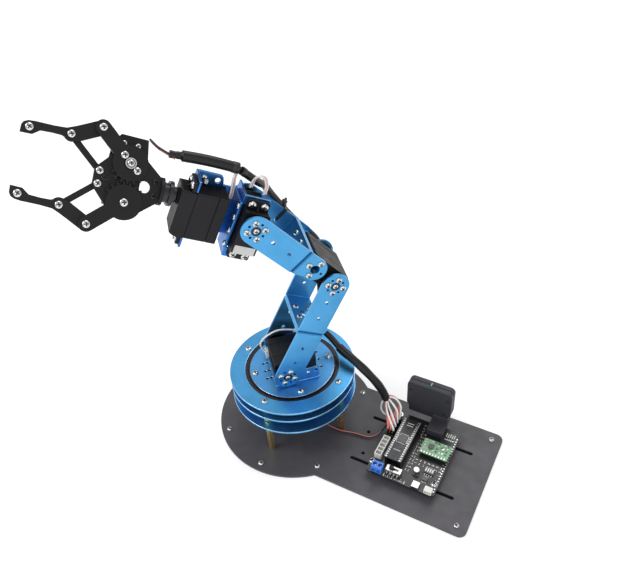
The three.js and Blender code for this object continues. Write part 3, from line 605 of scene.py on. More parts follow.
def build_base():
    r, half, end, corner = 78.6, 59.2, 196.9, 7
    open_angle = math.degrees(math.asin(half / r))
    edge = [*arc(0, 0, r, open_angle, 360 - open_angle, 120),
            *arc(end - corner, -half + corner, corner, -90, 0, 10),
            *arc(end - corner, half - corner, corner, 0, 90, 10)]
    holes = [circle(*spoke(RIM_SCREW_R, a), 1.8, 20) for a in RIM_ANGLES]
    holes += [slot(x0, x1, s * 26.4, 1.7) for x0, x1 in ((75, 104), (146, 174.5)) for s in (-1, 1)]
    holes += [circle(x, y, 2, 20) for x, y in END_SCREWS]
    holes += [circle(76.7, 7.6, 1.7, 20), circle(82.5, -17.5, 1.7, 20)]
    piece("plate_sheet", [(plate([edge, *holes], 0, DECK, 0.25), WORLD)], [PLATE_BLACK, PLATE_BLACK],
          "base", ["base_plate"])

    servo_hole = rounded(-TAIL - 0.6, NOSE + 0.6, -HALF - 0.6, HALF + 0.6, 1)
    column_holes = [circle(*spoke(COLUMN_R, a), 3.6, 24) for a in COLUMN_ANGLES]
    rim = circle(0, 0, DISC_R, 160)
    for name, top, inner in (("lower_disc", LOWER, [servo_hole, *column_holes]),
                             ("middle_disc", MIDDLE, [circle(0, 0, 13, 48)]),
                             ("top_ring", TOP, [circle(0, 0, BORE_R, 140)])):
        piece(f"{name}_plate", [(plate([rim, *inner], top - SHEET, top, 0.4), WORLD)], [BLUE, DISC_EDGE_HIGHLIGHT],
              "base", [name])

    spots = [spoke(RIM_SCREW_R, a) for a in RIM_ANGLES] + END_SCREWS
    screws("plate_screws", [(WORLD, x, y, DECK, "+z") for x, y in spots], "base", 0.95)
    ring = [(WORLD, *spoke(COLUMN_R, a), TOP, "+z") for a in COLUMN_ANGLES]
    screws("ring_screws", ring, "base", 1.1)
    pan = move(0, 0, LOWER + 10.3)
    servo("pan_servo", pan, "base")
    ear_screws("pan_ear_screws", pan, "base", 0.85)


def build_turntable():
    holes = [circle(x, y, 1.2, 16) for x in (-26.2, -22.2, 22.2, 26.2) for y in (-10, 0, 10)]
    piece("turntable_plate", [(plate([circle(0, 0, TURNTABLE_R, 120), *holes], TOP - SHEET, TOP, 0.4), ARM)],
          [BLUE_MID, DISC_EDGE_HIGHLIGHT], "turntable", ["turntable_disc"])
    lip = ring(TURNTABLE_R + 0.15, TURNTABLE_R + 0.4, TOP - 1.2, TOP - 0.1, 140)
    piece("bearing_lip", [(lip, WORLD)], [STEEL], "turntable")
    spots = ((36, 0), (-36, 0), (0, 35), (0, -35))
    screws("turntable_screws", [(ARM, x, y, TOP, "+z") for x, y in spots], "turntable", 1.05)

    x0, x1, foot = -TAIL - 0.5, NOSE + 1.5, TOP + 0.3 - SHOULDER_Z
    tab = [(x0, foot), (x1, foot), (x1, -3.5), (x1 - 3, -0.8), *arc(0, 0, 8.5, -5, -175, 16),
           (-11, 0), (x0 + 3.5, 0), (x0, -3.5)]
    parts = [(plate([rounded(x0, x1, -23.9, 23.9, 2)], foot, foot + SHEET, 0.25), SHOULDER)]
    for y0 in (18.9, -20.9):
        flat = plate([tab, circle(-27.5, -4.6, 1.6, 16)], 0, SHEET, 0.25)
        parts.append((flat, SHOULDER @ move(0, y0 + SHEET, 0) @ rot(90, "X")))
    piece("shoulder_bracket_plates", parts, [BLUE_MID, BLUE_EDGE_HIGHLIGHT], "turntable",
          ["shoulder_bracket"])
    tabs = [(SHOULDER, -20, 20.9, -5.6, "+y"), (SHOULDER, -20, -20.9, -5.6, "-y")]
    screws("shoulder_bracket_screws", tabs, "turntable", 0.8)
    servo("shoulder_servo", servo_frame(SHOULDER, 0), "turntable", ears=False, second_shaft=True)


# ---- arm, wrist and hand ----


def horn_screws(name, bracket, reach, body, angles, rise=0.0):
    """Screws of a horn through a bracket's round end, on each of its two arms."""
    holes = [arc(reach, rise, SPARE_RING, a, 0, 1)[0] for a in angles]
    places = [(bracket, x, y, z, way) for y, way in ((U_HALF, "+y"), (-U_HALF, "-y")) for x, z in holes]
    screws(name, places, body, 0.95)


def joint_screw(name, joint, body):
    """The horn's own screw, in its nose, on both sides."""
    screws(name, [(joint, 0, 26.1, 0, "+y"), (joint, 0, -26.1, 0, "-y")], body, 0.85)


def ear_screws(name, matrix, body, size, beyond=3.2):
    """Screws in the four holes of a servo's ears."""
    places = [(matrix, x, y, -7.5, "+z") for x in (-TAIL - beyond, NOSE + beyond) for y in (-5, 5)]
    screws(name, places, body, size)


def web_screws(name, matrix, body, axis):
    screws(name, [(matrix, 0, y, z, axis) for y in (-7, 7) for z in (-7, 7)], body, 0.9)


def build_arm():
    half, gap = UPPER_LENGTH / 2, 0.15
    reach = half - gap
    lower = UPPER_ARM @ move(reach, 0, 0) @ rot(180, "Y")
    upper = UPPER_ARM @ move(half + gap, 0, 0)
    look = [BLUE, BLUE_EDGE_HIGHLIGHT]
    bracket = u_bracket(reach)
    piece("lower_arm_sheet", [(bracket, lower)], look, "upper_arm", ["lower_arm_bracket"])
    piece("upper_arm_sheet", [(bracket, upper)], look, "upper_arm", ["upper_arm_bracket"])
    horn_screws("shoulder_horn_screws", lower, reach, "upper_arm", (0, 90, 180, 270))
    horn_screws("elbow_horn_screws", upper, reach, "upper_arm", (0, 90, 180, 270))
    joint_screw("shoulder_centre_screws", SHOULDER, "upper_arm")
    joint_screw("elbow_centre_screws", FOREARM, "upper_arm")
    web_screws("upper_arm_web_screws", UPPER_ARM @ move(half + gap + SHEET, 0, 0), "upper_arm", "+x")
    web_screws("lower_arm_web_screws", UPPER_ARM @ move(half - gap - SHEET, 0, 0), "upper_arm", "-x")

    web, cradle_arm, cradle_r = 41.5, 13.8, 10.4
    servo("elbow_servo", servo_frame(FOREARM, 180), "forearm", ears=False, second_shaft=True)
    cradle = FOREARM @ move(web - gap, 0, 0) @ rot(180, "Z")
    parts = [(u_bracket(cradle_arm, (), 0, cradle_r), cradle)]
    pad_loops = [rounded(cradle_arm - 10.4, cradle_arm + 10.4, -9, 9, 8.98, 10),
                 circle(cradle_arm, U_WIDTH - cradle_r, HORN_HOLE, 32),
                 circle(cradle_arm + SPARE_RING, U_WIDTH - cradle_r, 1.1, 14)]
    for y1 in (24.5, -18.8):
        parts.append((plate(pad_loops, 0, 5.7, 0.3), cradle @ move(0, y1, 0) @ rot(90, "X"), 0))
    piece("elbow_cradle_sheet", parts, look, "forearm", ["elbow_servo_cradle"])
    horn_screws("cradle_screws", cradle, cradle_arm, "forearm", (90, 180, 270), U_WIDTH - cradle_r)
    fore_reach = FORE_LENGTH - web - gap
    fore = FOREARM @ move(web + gap, 0, 0)
    piece("forearm_sheet", [(u_bracket(fore_reach, SIDE_HOLES, 0), fore)], look, "forearm",
          ["forearm_bracket"])
    horn_screws("wrist_horn_screws", fore, fore_reach, "forearm", (45, 135, 225, 315))
    joint_screw("wrist_centre_screws", WRIST, "forearm")
    web_screws("forearm_web_screws", FOREARM @ move(web + gap + SHEET, 0, 0), "forearm", "+x")


def build_wrist():
    pitch = servo_frame(WRIST, 90)
    servo("wrist_pitch_servo", pitch, "wrist", label=True, second_shaft=True)
    ear_screws("pitch_ear_screws", pitch, "wrist", 1.12)

    face, low, high = 8.2, -TAIL - 8.4, NOSE + 8.6
    span = (-9.2, 12.3)
    parts = [(block((10.3, 12.3), (-16, face), (low, high), 0.25, 1.0), WRIST)]
    for z0, z1 in ((NOSE + 0.6, high), (low, -TAIL - 0.6)):
        parts.append((block(span, (face - SHEET, face), (z0, z1), 0.25, 0.6), WRIST))
    piece("pitch_bracket_sheet", parts, [BLUE_DEEP, BLUE_EDGE_HIGHLIGHT], "wrist",
          ["wrist_pitch_bracket"])

    front, side = 48.2, -HALF - 0.3
    low, high = -TAIL - 9, NOSE + 9.5
    panel = [(12.6, -30), (24, -30), (27, low), (front, low), *arc(front - 3, high - 3, 3, 0, 90, 6),
             *arc(29, high - 3, 3, 90, 165, 5), (24.5, 12), (12.6, 12)]
    holes = [circle(41, 14.5, 2.2, 20), circle(30, 14.5, 2.2, 20)]
    parts = [(plate([panel, *holes], 0, SHEET, 0.25), ROLL @ move(0, side, 0) @ rot(90, "X")),
             (block((12.6, 14.6), (side - SHEET, 12), (-30, 12), 0.25, 1.0), ROLL)]
    for z0, z1 in ((NOSE + 0.6, high), (low, -TAIL - 0.6)):
        parts.append((block((front - SHEET, front), (side - SHEET, 9.2), (z0, z1), 0.25, 0.9), ROLL))
    piece("roll_bracket_sheet", parts, [BLUE_DEEP, BLUE_EDGE_HIGHLIGHT], "wrist",
          ["wrist_roll_bracket"])
    servo("wrist_roll_servo", roll_frame(58.5), "wrist")
    ear_screws("roll_ear_screws", roll_frame(58.5), "wrist", 1.1, 3.4)
    backs = [(ROLL, 14.6, 10.2, z, "+x") for z in (-26, -14, -2, 8)]
    screws("bracket_joint_screws", backs, "wrist", 0.78)
    screws("roll_tab_screw", [(ROLL, 41, side + 0.1, 14.5, "+y")], "wrist", 0.9)
    clip = block((37.5, 40.5), (side + 0.1, side + 3.4), (NOSE + 1.0, NOSE + 3.8), 0.4, 0.8)
    piece("roll_lead_clip", [(clip, ROLL)], [WHITE], "wrist")


def build_hand():
    servo("gripper_servo", GRIP_SERVO, "hand")
    link, link_angle = 30, 42
    pivot_x, pivot_y = arc(GEAR_X, GEAR_Y, link, link_angle, link_angle, 1)[0]
    links, front = -8.4, -5.5                # outer faces of the gear links and of the palm

    def heads(name, body, spots, z, size=1.0, metals=None):
        screws(name, [(GRIPPER, x, y, z, "-z") for x, y in spots], body, size, metals=metals)

    flange = [(77.3, 5.2), (77.3, -5.2), (104.5, 2.5), (112.5, 0.0)]
    # dark screw heads; their cross recesses take the near-black as painted shade
    heads("palm_screws", "hand", flange, front + 0.1, 0.72, [HORN_METAL, SEAM_AND_SHADE_BLACK])
    heads("gripper_servo_screws", "hand", [(GEAR_X - 5, 28.9), (GEAR_X + 5, 28.9)], 4.9, 0.7)
    heads("inner_pivot_screws", "hand", [(116.1, 4.65), (116.1, -4.65)], front)
    heads("drive_link_screws", "drive_link", [(101.7, 18.9), (91.4, 9.7)], links)
    heads("drive_centre_screw", "drive_link", [(GEAR_X, GEAR_Y)], links - 1.1, 0.95)
    collar = ring(3.1, 3.9, -9.65, -9.3, 40), GRIPPER @ move(GEAR_X, GEAR_Y, 0)
    piece("gripper_horn_rim", [collar], [STEEL], "drive_link")
    heads("drive_pivot_screw", "drive_link", [(pivot_x, pivot_y)], links)
    heads("driven_centre_screw", "driven_link", [(GEAR_X, -GEAR_Y)], links, 1.1)
    heads("driven_pivot_screw", "driven_link", [(pivot_x, -pivot_y)], links)
    for side, body in ((1, "upper_jaw"), (-1, "lower_jaw")):
        tip = (165.0, side * 22.6)
        heads(f"{body}_screws", body, [(138.4, side * 24.7), tip], front)
        piece(f"{body}_nut", [(NUT, GRIPPER @ move(*tip, -3))], [STEEL], body)
    nuts = [(NUT, GRIPPER @ move(116.1, side * 4.65, -0.4)) for side in (-1, 1)]
    piece("palm_nuts", nuts, [STEEL], "hand")


# ---- controller ----

BOARD_TOP = DECK + 8.0
SEAT = BOARD_TOP + 0.3           # where connectors and daughter boards stand
HEADER_X, HEADER_STEP, HEADER_ROWS, PLUGGED_ROWS = 96.9, 2.7, 10, (1, 3, 5, 7)


def header_row(i):
    return 5.9 + 2.54 * i


BOARD_SCREWS = [(96.7, -26.9), (156.8, -25.4)]


def build_board():
    """Everything that stands on the controller board."""
    parts = []
    TINNED, DARK, PALE, BEIGE, NYLON = range(5)
    look = [TIN, CHIP, SILK, CERAMIC, WHITE]

    def part(x, y, size, high, index, bevel=0.08):
        top = BOARD_TOP + high
        parts.append(pad(x, y, size[0] / 2, size[1] / 2, BOARD_TOP, top, index, bevel, bevel + 0.05))

    def printed(x, y, size, high=0.05):
        part(x, y, size, high, PALE, 0.01)

    dice = random.Random(7)
    spots = [(x, y) for x in (127.6, 130.4) for y in range(-22, 30, 4)]
    spots += [(x, y) for x in range(133, 158, 4) for y in (-7.5, -11.5)]
    spots += [(x, -36.3) for x in range(104, 136, 4)]
    spots += [(126.5, y) for y in (20.5, 24.5, 28.5, 32.5)]
    for x, y in spots:
        lengthwise = dice.random() > 0.5
        cap, body = ((2.0, 1.1), (1.1, 0.99)) if lengthwise else ((1.1, 2.0), (0.99, 1.1))
        part(x, y, cap, 0.5, TINNED)
        part(x, y, body, 0.62, dice.choice((DARK, BEIGE)))
    for y in range(-33, 33, 3):
        part(158.9, y, (1.3, 1.3), 0.12, TINNED, 0.03)
        if y % 2:
            printed(156.9, y, (1.2, 0.35))
    for x in range(112, 134, 2):
        printed(x, -36.0 + 1.8 * (x % 4 == 0), (0.4, 1.2))
    # marks and pads beside the receiver's socket
    for i in range(5):
        printed(148.5 + 1.9 * i, 31.5 - 0.8 * (i % 2), (1.0, 4.6), 0.06)
        part(148.5 + 1.9 * i, 25.8, (1.2, 1.6), 0.5, TINNED)
    # a four-way socket, and an eight-legged chip in front of it
    part(148.4, -15.3, (9.2, 5.2), 2.2, DARK)
    part(147.5, -24.2, (5.0, 4.2), 1.4, DARK)
    for i in range(4):
        x = 145.2 + 2.1 * i
        part(x, -15.3, (1.1, 3.6), 3.0, NYLON)
        part(x, -18.8, (0.7, 2.2), 0.5, TINNED)
        part(x, -11.8, (0.7, 2.0), 0.5, TINNED)
        part(145.6 + 1.27 * i, -27.2, (0.45, 1.8), 0.3, TINNED)
        part(145.6 + 1.27 * i, -21.4, (0.45, 1.4), 0.3, TINNED)
    can = turned([(0, 0), (3.0, 0), (3.0, 4.6), (2.7, 5.0), (2.55, 4.85), (0, 4.85)], 36)
    parts.append((can, move(138, -21, BOARD_TOP + 0.5), TINNED))
    part(138, -21, (6.6, 6.6), 0.7, DARK)
    for x, y in (*BOARD_SCREWS, (98.4, 35.2)):
        parts.append((ring(1.8, 3.2, 0.01, 0.09, 32), move(x, y, BOARD_TOP), TINNED))
    piece("board_components", parts, look, "base")
    screws("board_screws", [(WORLD, x, y, BOARD_TOP, "+z") for x, y in BOARD_SCREWS], "base", 1.12)

    shell = plate([rounded(-3.9, 3.9, 0, 3.0, 1.0)], 0, 6.6, 0.15)
    shell = boolean(shell, plate([rounded(-3.3, 3.3, 0.5, 2.5, 0.6)], 3, 8, 0.02))
    port = move(142.4, -31.2, BOARD_TOP + 0.2) @ rot(90, "X")
    tongue = box((-2.6, 2.6), (1.2, 1.7), (2.6, 5.4), 1, 0.05, 0.1, port)
    piece("usb_socket", [(shell, port, 0), tongue], [TIN, BLACK_PLASTIC], "base")
    low = BOARD_TOP
    socket = boolean(block((151.2, 158.4), (-38, -32.4), (low, low + 4.6), 0.2, 0.4),
                     block((152.1, 157.5), (-40, -33.6), (low + 0.9, low + 3.8), 0.05, 0.2))
    piece("battery_socket", [(softened(socket, 0.1), WORLD)], [WHITE, WHITE], "base")


def build_terminal():
    body = block((99.6, 110), (-37.6, -29.8), (SEAT, SEAT + 8), 0.35, 0.6)
    for x in (102.2, 107.4):
        well = copy_of(peg(1.9, 5.6, 9, 28), move(x, -33.4, SEAT))
        body = boolean(body, well)
        mouth = block((x - 1.7, x + 1.7), (-39, -35.8), (SEAT + 1, SEAT + 4.6), 0.05, 0.2)
        body = boolean(body, mouth)
    piece("terminal_body", [(softened(body, 0.15), WORLD)], [BLUE_PLASTIC, BLUE_PLASTIC], "base",
          ["power_terminal"])
    screws("terminal_screws", [(WORLD, x, -33.4, SEAT + 5.2, "+z") for x in (102.2, 107.4)], "base", 0.66)


def build_connectors():
    parts = []
    shell = block((96.4, 103.4), (-22.8, 0.6), (SEAT, SEAT + 7), 0.25, 0.5)
    for i in range(5):
        y = -22.1 + 4.56 * i
        shell = boolean(shell, block((97.4, 102.4), (y + 0.2, y + 3.9), (SEAT + 1.4, SEAT + 8), 0.05, 0.15))
        for k in range(3):
            x = 98.3 + 1.3 * k
            parts.append(box((x, x + 0.5), (y + 1.8, y + 2.3), (SEAT + 1, SEAT + 5.6), 1, 0.05, 0.08))
    piece("bus_connector_shell", [(softened(shell, 0.12), WORLD, 0), *parts], [WHITE, TIN], "base",
          ["bus_connector"])

    parts = []
    for i in range(HEADER_ROWS):
        y = header_row(i)
        for k in range(3):
            x = HEADER_X + HEADER_STEP * k
            parts.append(pad(x, y, 1.3, 1.2, SEAT, SEAT + 2.4, 0, 0.12, 0.3))
            if i not in PLUGGED_ROWS:
                parts.append(pad(x, y, 0.3, 0.3, SEAT + 2.3, SEAT + 7.4, 1, 0.1, 0.12))
        if i in PLUGGED_ROWS:
            parts.append(pad(99.6, y, 3.9, 1.22, SEAT + 2.5, SEAT + 7.5, 0, 0.15, 0.3))
    piece("servo_header", parts, [BLACK_PLASTIC, GOLD], "base", ["pin_header"])

    frame_block = boolean(block((112.2, 127), (-33.4, -27), (SEAT, SEAT + 5.4), 0.3, 0.6),
                          block((115, 124.2), (-31.4, -29), (SEAT + 2, SEAT + 6), 0.05, 0.2))
    legs = [box((x, x + 1.2), (-34.6, -33.2), (BOARD_TOP, SEAT + 1.4), None, 0.08, 0.12)
            for x in (113.5, 116.9, 120.3, 123.7)]
    piece("switch_frame", [(softened(frame_block, 0.12), WORLD), *legs], [TIN, TIN], "base",
          ["slide_switch"])
    knob = block((115.4, 119.6), (-31.1, -29.3), (SEAT + 2.3, SEAT + 8.6), 0.25, 0.4)
    ribs = [box((x, x + 0.4), (-31.2, -29.2), (SEAT + 7.4, SEAT + 8.6), None, 0.05, 0.1)
            for x in (116, 117.1, 118.2)]
    piece("switch_lever", [(knob, WORLD), *ribs], [BLACK_PLASTIC, BLACK_PLASTIC], "switch_knob",
          ["slide_switch_knob"])


def build_processor():
    low, high = SEAT + 8.5, SEAT + 10.1
    parts = [(plate([rounded(106.6, 123.8, -24, 26.4, 0.8)], low, high, 0.1), WORLD, 0)]
    for x in (108.6, 121.8):
        parts.append(box((x - 1.3, x + 1.3), (-23.5, 26), (SEAT, low), 1, 0.2, 0.4))
        for i in range(19):
            y = -22.6 + 2.62 * i
            parts.append((ring(0.35, 0.85, 0, 0.08, 14), move(x, y, high), 2))
    parts.append(pad(114.8, 1.2, 4.4, 4.4, high, high + 1.2, 3, 0.15, 0.3))
    for i in range(11):
        for side in (-1, 1):
            parts.append(pad(114.8 + side * 5, -2.8 + 0.8 * i, 0.7, 0.2, high, high + 0.35, 2))
            parts.append(pad(110.8 + 0.8 * i, 1.2 + side * 5, 0.2, 0.7, high, high + 0.35, 2))
    parts.append((peg(0.5, 0, 0.05, 16), move(111.8, 4.2, high + 1.2), 4))
    marks = ((112.2, 20.4, 6.4, 0.8), (112.2, 17.6, 6.4, 0.8), (117.4, 20.2, 1.4, 1.4), (111.6, -13, 7, 0.8))
    for x, y, w, h in marks:
        parts.append(box((x, x + w), (y, y + h), (high, high + 0.06), 4, 0.02, 0.03))
    for x, y in ((111.6, -8), (117.6, -8.6), (112.2, 10.4), (117.4, 10.8), (115, -19.5)):
        parts.append(pad(x, y, 0.7, 0.4, high, high + 0.5, 3, 0.08, 0.15))
    for x in (107.1, 123.0):
        parts.append(box((x, x + 0.3), (-23.4, 25.8), (high, high + 0.06), 4, 0.02, 0.03))
    piece("processor_assembly", parts, [SOLDER_MASK, BLACK_PLASTIC, TIN, CHIP, SILK], "base",
          ["processor_board"])


def build_radio():
    low, high = SEAT + 4.2, SEAT + 5.4
    parts = [(plate([rounded(132.5, 159.4, -1.5, 15.5, 0.6)], low, high, 0.1), WORLD, 0),
             box((134, 158), (-1.2, 1.4), (SEAT, low), 1, 0.2, 0.4),
             box((138.6, 143.6), (5.4, 10.4), (high, high + 0.9), 2, 0.1, 0.2),
             (turned([(0, 0), (1.9, 0), (1.9, 0.7), (1.6, 0.9), (0, 0.9)], 28), move(152, 9.4, high), 3)]
    for i in range(9):
        x = 134.4 + 2.8 * i
        parts.append(pad(x, -0.3, 0.55, 1, high, high + 0.1, 3))
        parts.append(pad(x, 2.25, 0.9, 0.25, high, high + 0.06, 4, 0.02, 0.03))
    for i in range(4):
        x = 134.2 + 1.2 * i
        end = 7.0 if i % 2 else 5.4
        parts.append(box((x, x + 0.5), (3.4, end), (high, high + 0.06), 4, 0.02, 0.03))
    dice = random.Random(11)
    for x in range(135, 159, 3):
        for y in (4.2, 7.6, 11.2, 13.9):
            if 137 < x < 146 and 4.5 < y < 11.5 or 149 < x < 155 and 7 < y < 12:
                continue
            w, h = dice.choice(((1.0, 0.5), (0.5, 0.9), (0.8, 0.8)))
            parts.append(pad(x, y, w, h, high, high + 0.5, dice.choice((2, 3, 3, 4)), 0.08, 0.12))
    piece("radio_assembly", parts, [GREEN_MASK, BLACK_PLASTIC, CHIP, TIN, SILK], "base",
          ["radio_board"])


def build_receiver():
    """Wireless receiver: a slim case standing on its plug, with a parting line and corner screws."""
    def upright(x0, x1, y0, y1, z0, z1, r, index, bevel, steps=10):
        slab = plate([rounded(x0, x1, z0, z1, r, steps)], 0, y1 - y0, bevel)
        return slab, move(0, y1, 0) @ rot(90, "X"), index

    low, high = DECK + 22, DECK + 55.5
    parts = [upright(103, 147.6, 39.2, 44.2, low, high, 5, 0, 0.9),
             upright(103, 147.6, 44.4, 49.6, low, high, 5, 0, 0.9),
             upright(103.6, 147, 43.6, 45, low + 0.6, high - 0.6, 4.5, 1, 0.1),
             upright(105, 145.6, 40, 48.8, DECK + 14, low + 4, 2, 0, 0.8, 6),
             box((130, 145.6), (23.4, 41), (SEAT, SEAT + 8.2), 0, 0.6, 0.9),
             box((131, 146), (36, 46), (SEAT + 4, DECK + 24), 0, 0.5, 0.9)]
    # screw holes: shallow dishes in near-black, the painted shade of deep holes
    for x, z in ((107, high - 10), (143.8, high - 10), (141, low + 4)):
        hole = turned([(0, -0.4), (1.3, -0.4), (1.3, 0.05), (1.05, 0.08), (0, -0.3)], 18)
        parts.append((hole, move(x, 39.2, z) @ rot(90, "X"), 1))
    parts.append(pad(125.25, 44.8, 0.65, 1.8, high - 0.4, high + 0.1, 2, 0.1, 0.3))
    piece("receiver_case_halves", parts, [RECEIVER, SEAM_AND_SHADE_BLACK, LAMP], "base",
          ["wireless_receiver"])


# ---- wiring ----


def in_arm(points):
    """Points given as [forwards, out of plane, up from the deck] in the arm's plane, in the row frame."""
    return [ARM @ Vector((x, y, z + DECK)) for x, y, z in points]


def in_row(points):
    return [Vector((x, y, z + DECK)) for x, y, z in points]


SLEEVE = braid("braided_sleeve", (0.006, 0.006, 0.007), 14, 1.6)


def facing(place, way):
    return Matrix.Translation(place) @ way.normalized().to_track_quat("Z", "Y").to_matrix().to_4x4()


def cuff(r, length, start, toward):
    """A short heat-shrink collar round a sleeve, from start along toward."""
    first = [(0, 0), (r * 0.7, 0), (r, 0.2), (r + 0.25, 0.8)]
    profile = first + [(x, length - z) for x, z in reversed(first)]
    return turned(profile, 24), facing(start, toward - start)


def tie(place, way, r, spin):
    """A cable tie: a flat band with its square lock and clipped tail."""
    matrix = facing(place, way) @ rot(spin, "Z")
    band = ring(r, r + 0.8, -1.2, 1.2, 28)
    lock = block((r + 0.2, r + 3.2), (-1.8, 1.8), (-1.9, 1.9), 0.3, 0.5)
    tail = block((r + 2.6, r + 5.4), (-0.5, 0.5), (-1.1, 1.1), 0.2, 0.3)
    return [(band, matrix), (lock, matrix), (tail, matrix)]


def sleeve(name, points, radius, replaces, shape=None, body=None, bend=None, ends=(True, True)):
    """A braided sleeve over its CAD solid: it rides on a body, or, given bend, rides on none and keeps its
    place in the row frame.
    """
    parts = [(tube(points, radius, 24, 1.2, shape), WORLD, 0)]
    if ends[0]:
        parts.append((*cuff(radius, 5.5, points[0], points[1]), 1))
    if ends[1]:
        parts.append((*cuff(radius, 5.5, points[-1], points[-2]), 1))
    return piece(name, parts, [SLEEVE, BLACK_PLASTIC], body, [replaces], 50, False, bend)


def wires(name, routes, body, bend=None, replaces=(), r=0.75):
    """Round insulated wires, each given as (colour, points)."""
    shades = list(WIRES)
    parts = [(tube(points, r, 12, 1.0), WORLD, shades.index(color)) for color, points in routes]
    return piece(name, parts, list(WIRES.values()), body, replaces, 60, False, bend)


def shifted(points, offset):
    return [p + Vector(offset) for p in points]


def base_sleeve_shape(t):
    """Two sleeves end to end: a thinner one, a bulge where the second slips over it, and a long one."""
    if t < 0.2:
        return 0.70
    if t < 0.34:
        return 1.0
    return 0.93 + 0.03 * math.sin(26 * t)


LEAD = [[80.7, -25, 308.4], [79.2, -19.5, 308.8], [76.5, -14.5, 307.5], [72, -12.3, 304]]
WRIST_SLEEVE = [[70.2, -12, 302.9], [58, -12, 298.2], [45, -12, 292.8], [33, -12, 287], [21.5, -12, 281]]
FOREARM_SLEEVE = [[19.9, -12.2, 279.0], [13.4, -14.2, 270.8], [6.3, -20.5, 260.5], [1.6, -26.7, 253.4],
                  [-4.6, -31.1, 239.6], [-17.8, -31.4, 216.6], [-31.4, -31.6, 198]]
ELBOW_SLEEVE = [[-32.6, -31.8, 196.2], [-38.5, -32.2, 187], [-42.5, -32.4, 176], [-42.5, -32, 163.5]]
UPPER_ARM_SLEEVE = [[-42.3, -32, 161.5], [-40, -30.5, 147], [-39, -27, 129], [-38, -21.5, 110],
                    [-37, -16, 93]]
BASE_SLEEVE = [[18.2, 36.2, 87.3], [26, 35, 82.8], [38, 29.5, 79.6], [53, 24, 77.5], [66, 24, 67.5],
               [76, 26.4, 54], [82, 29, 41], [84.8, 31, 30]]
PAN_LEAD = [[12.5, 0, 22], [20, -2, 12], [32, -4, 4.2], [50, -5, 2.2], [66, -1.6, 2.2], [80, 0.3, 2.2],
            [87, 7, 2.8], [90.6, 15, 6], [92.6, 18.5, 12.5]]


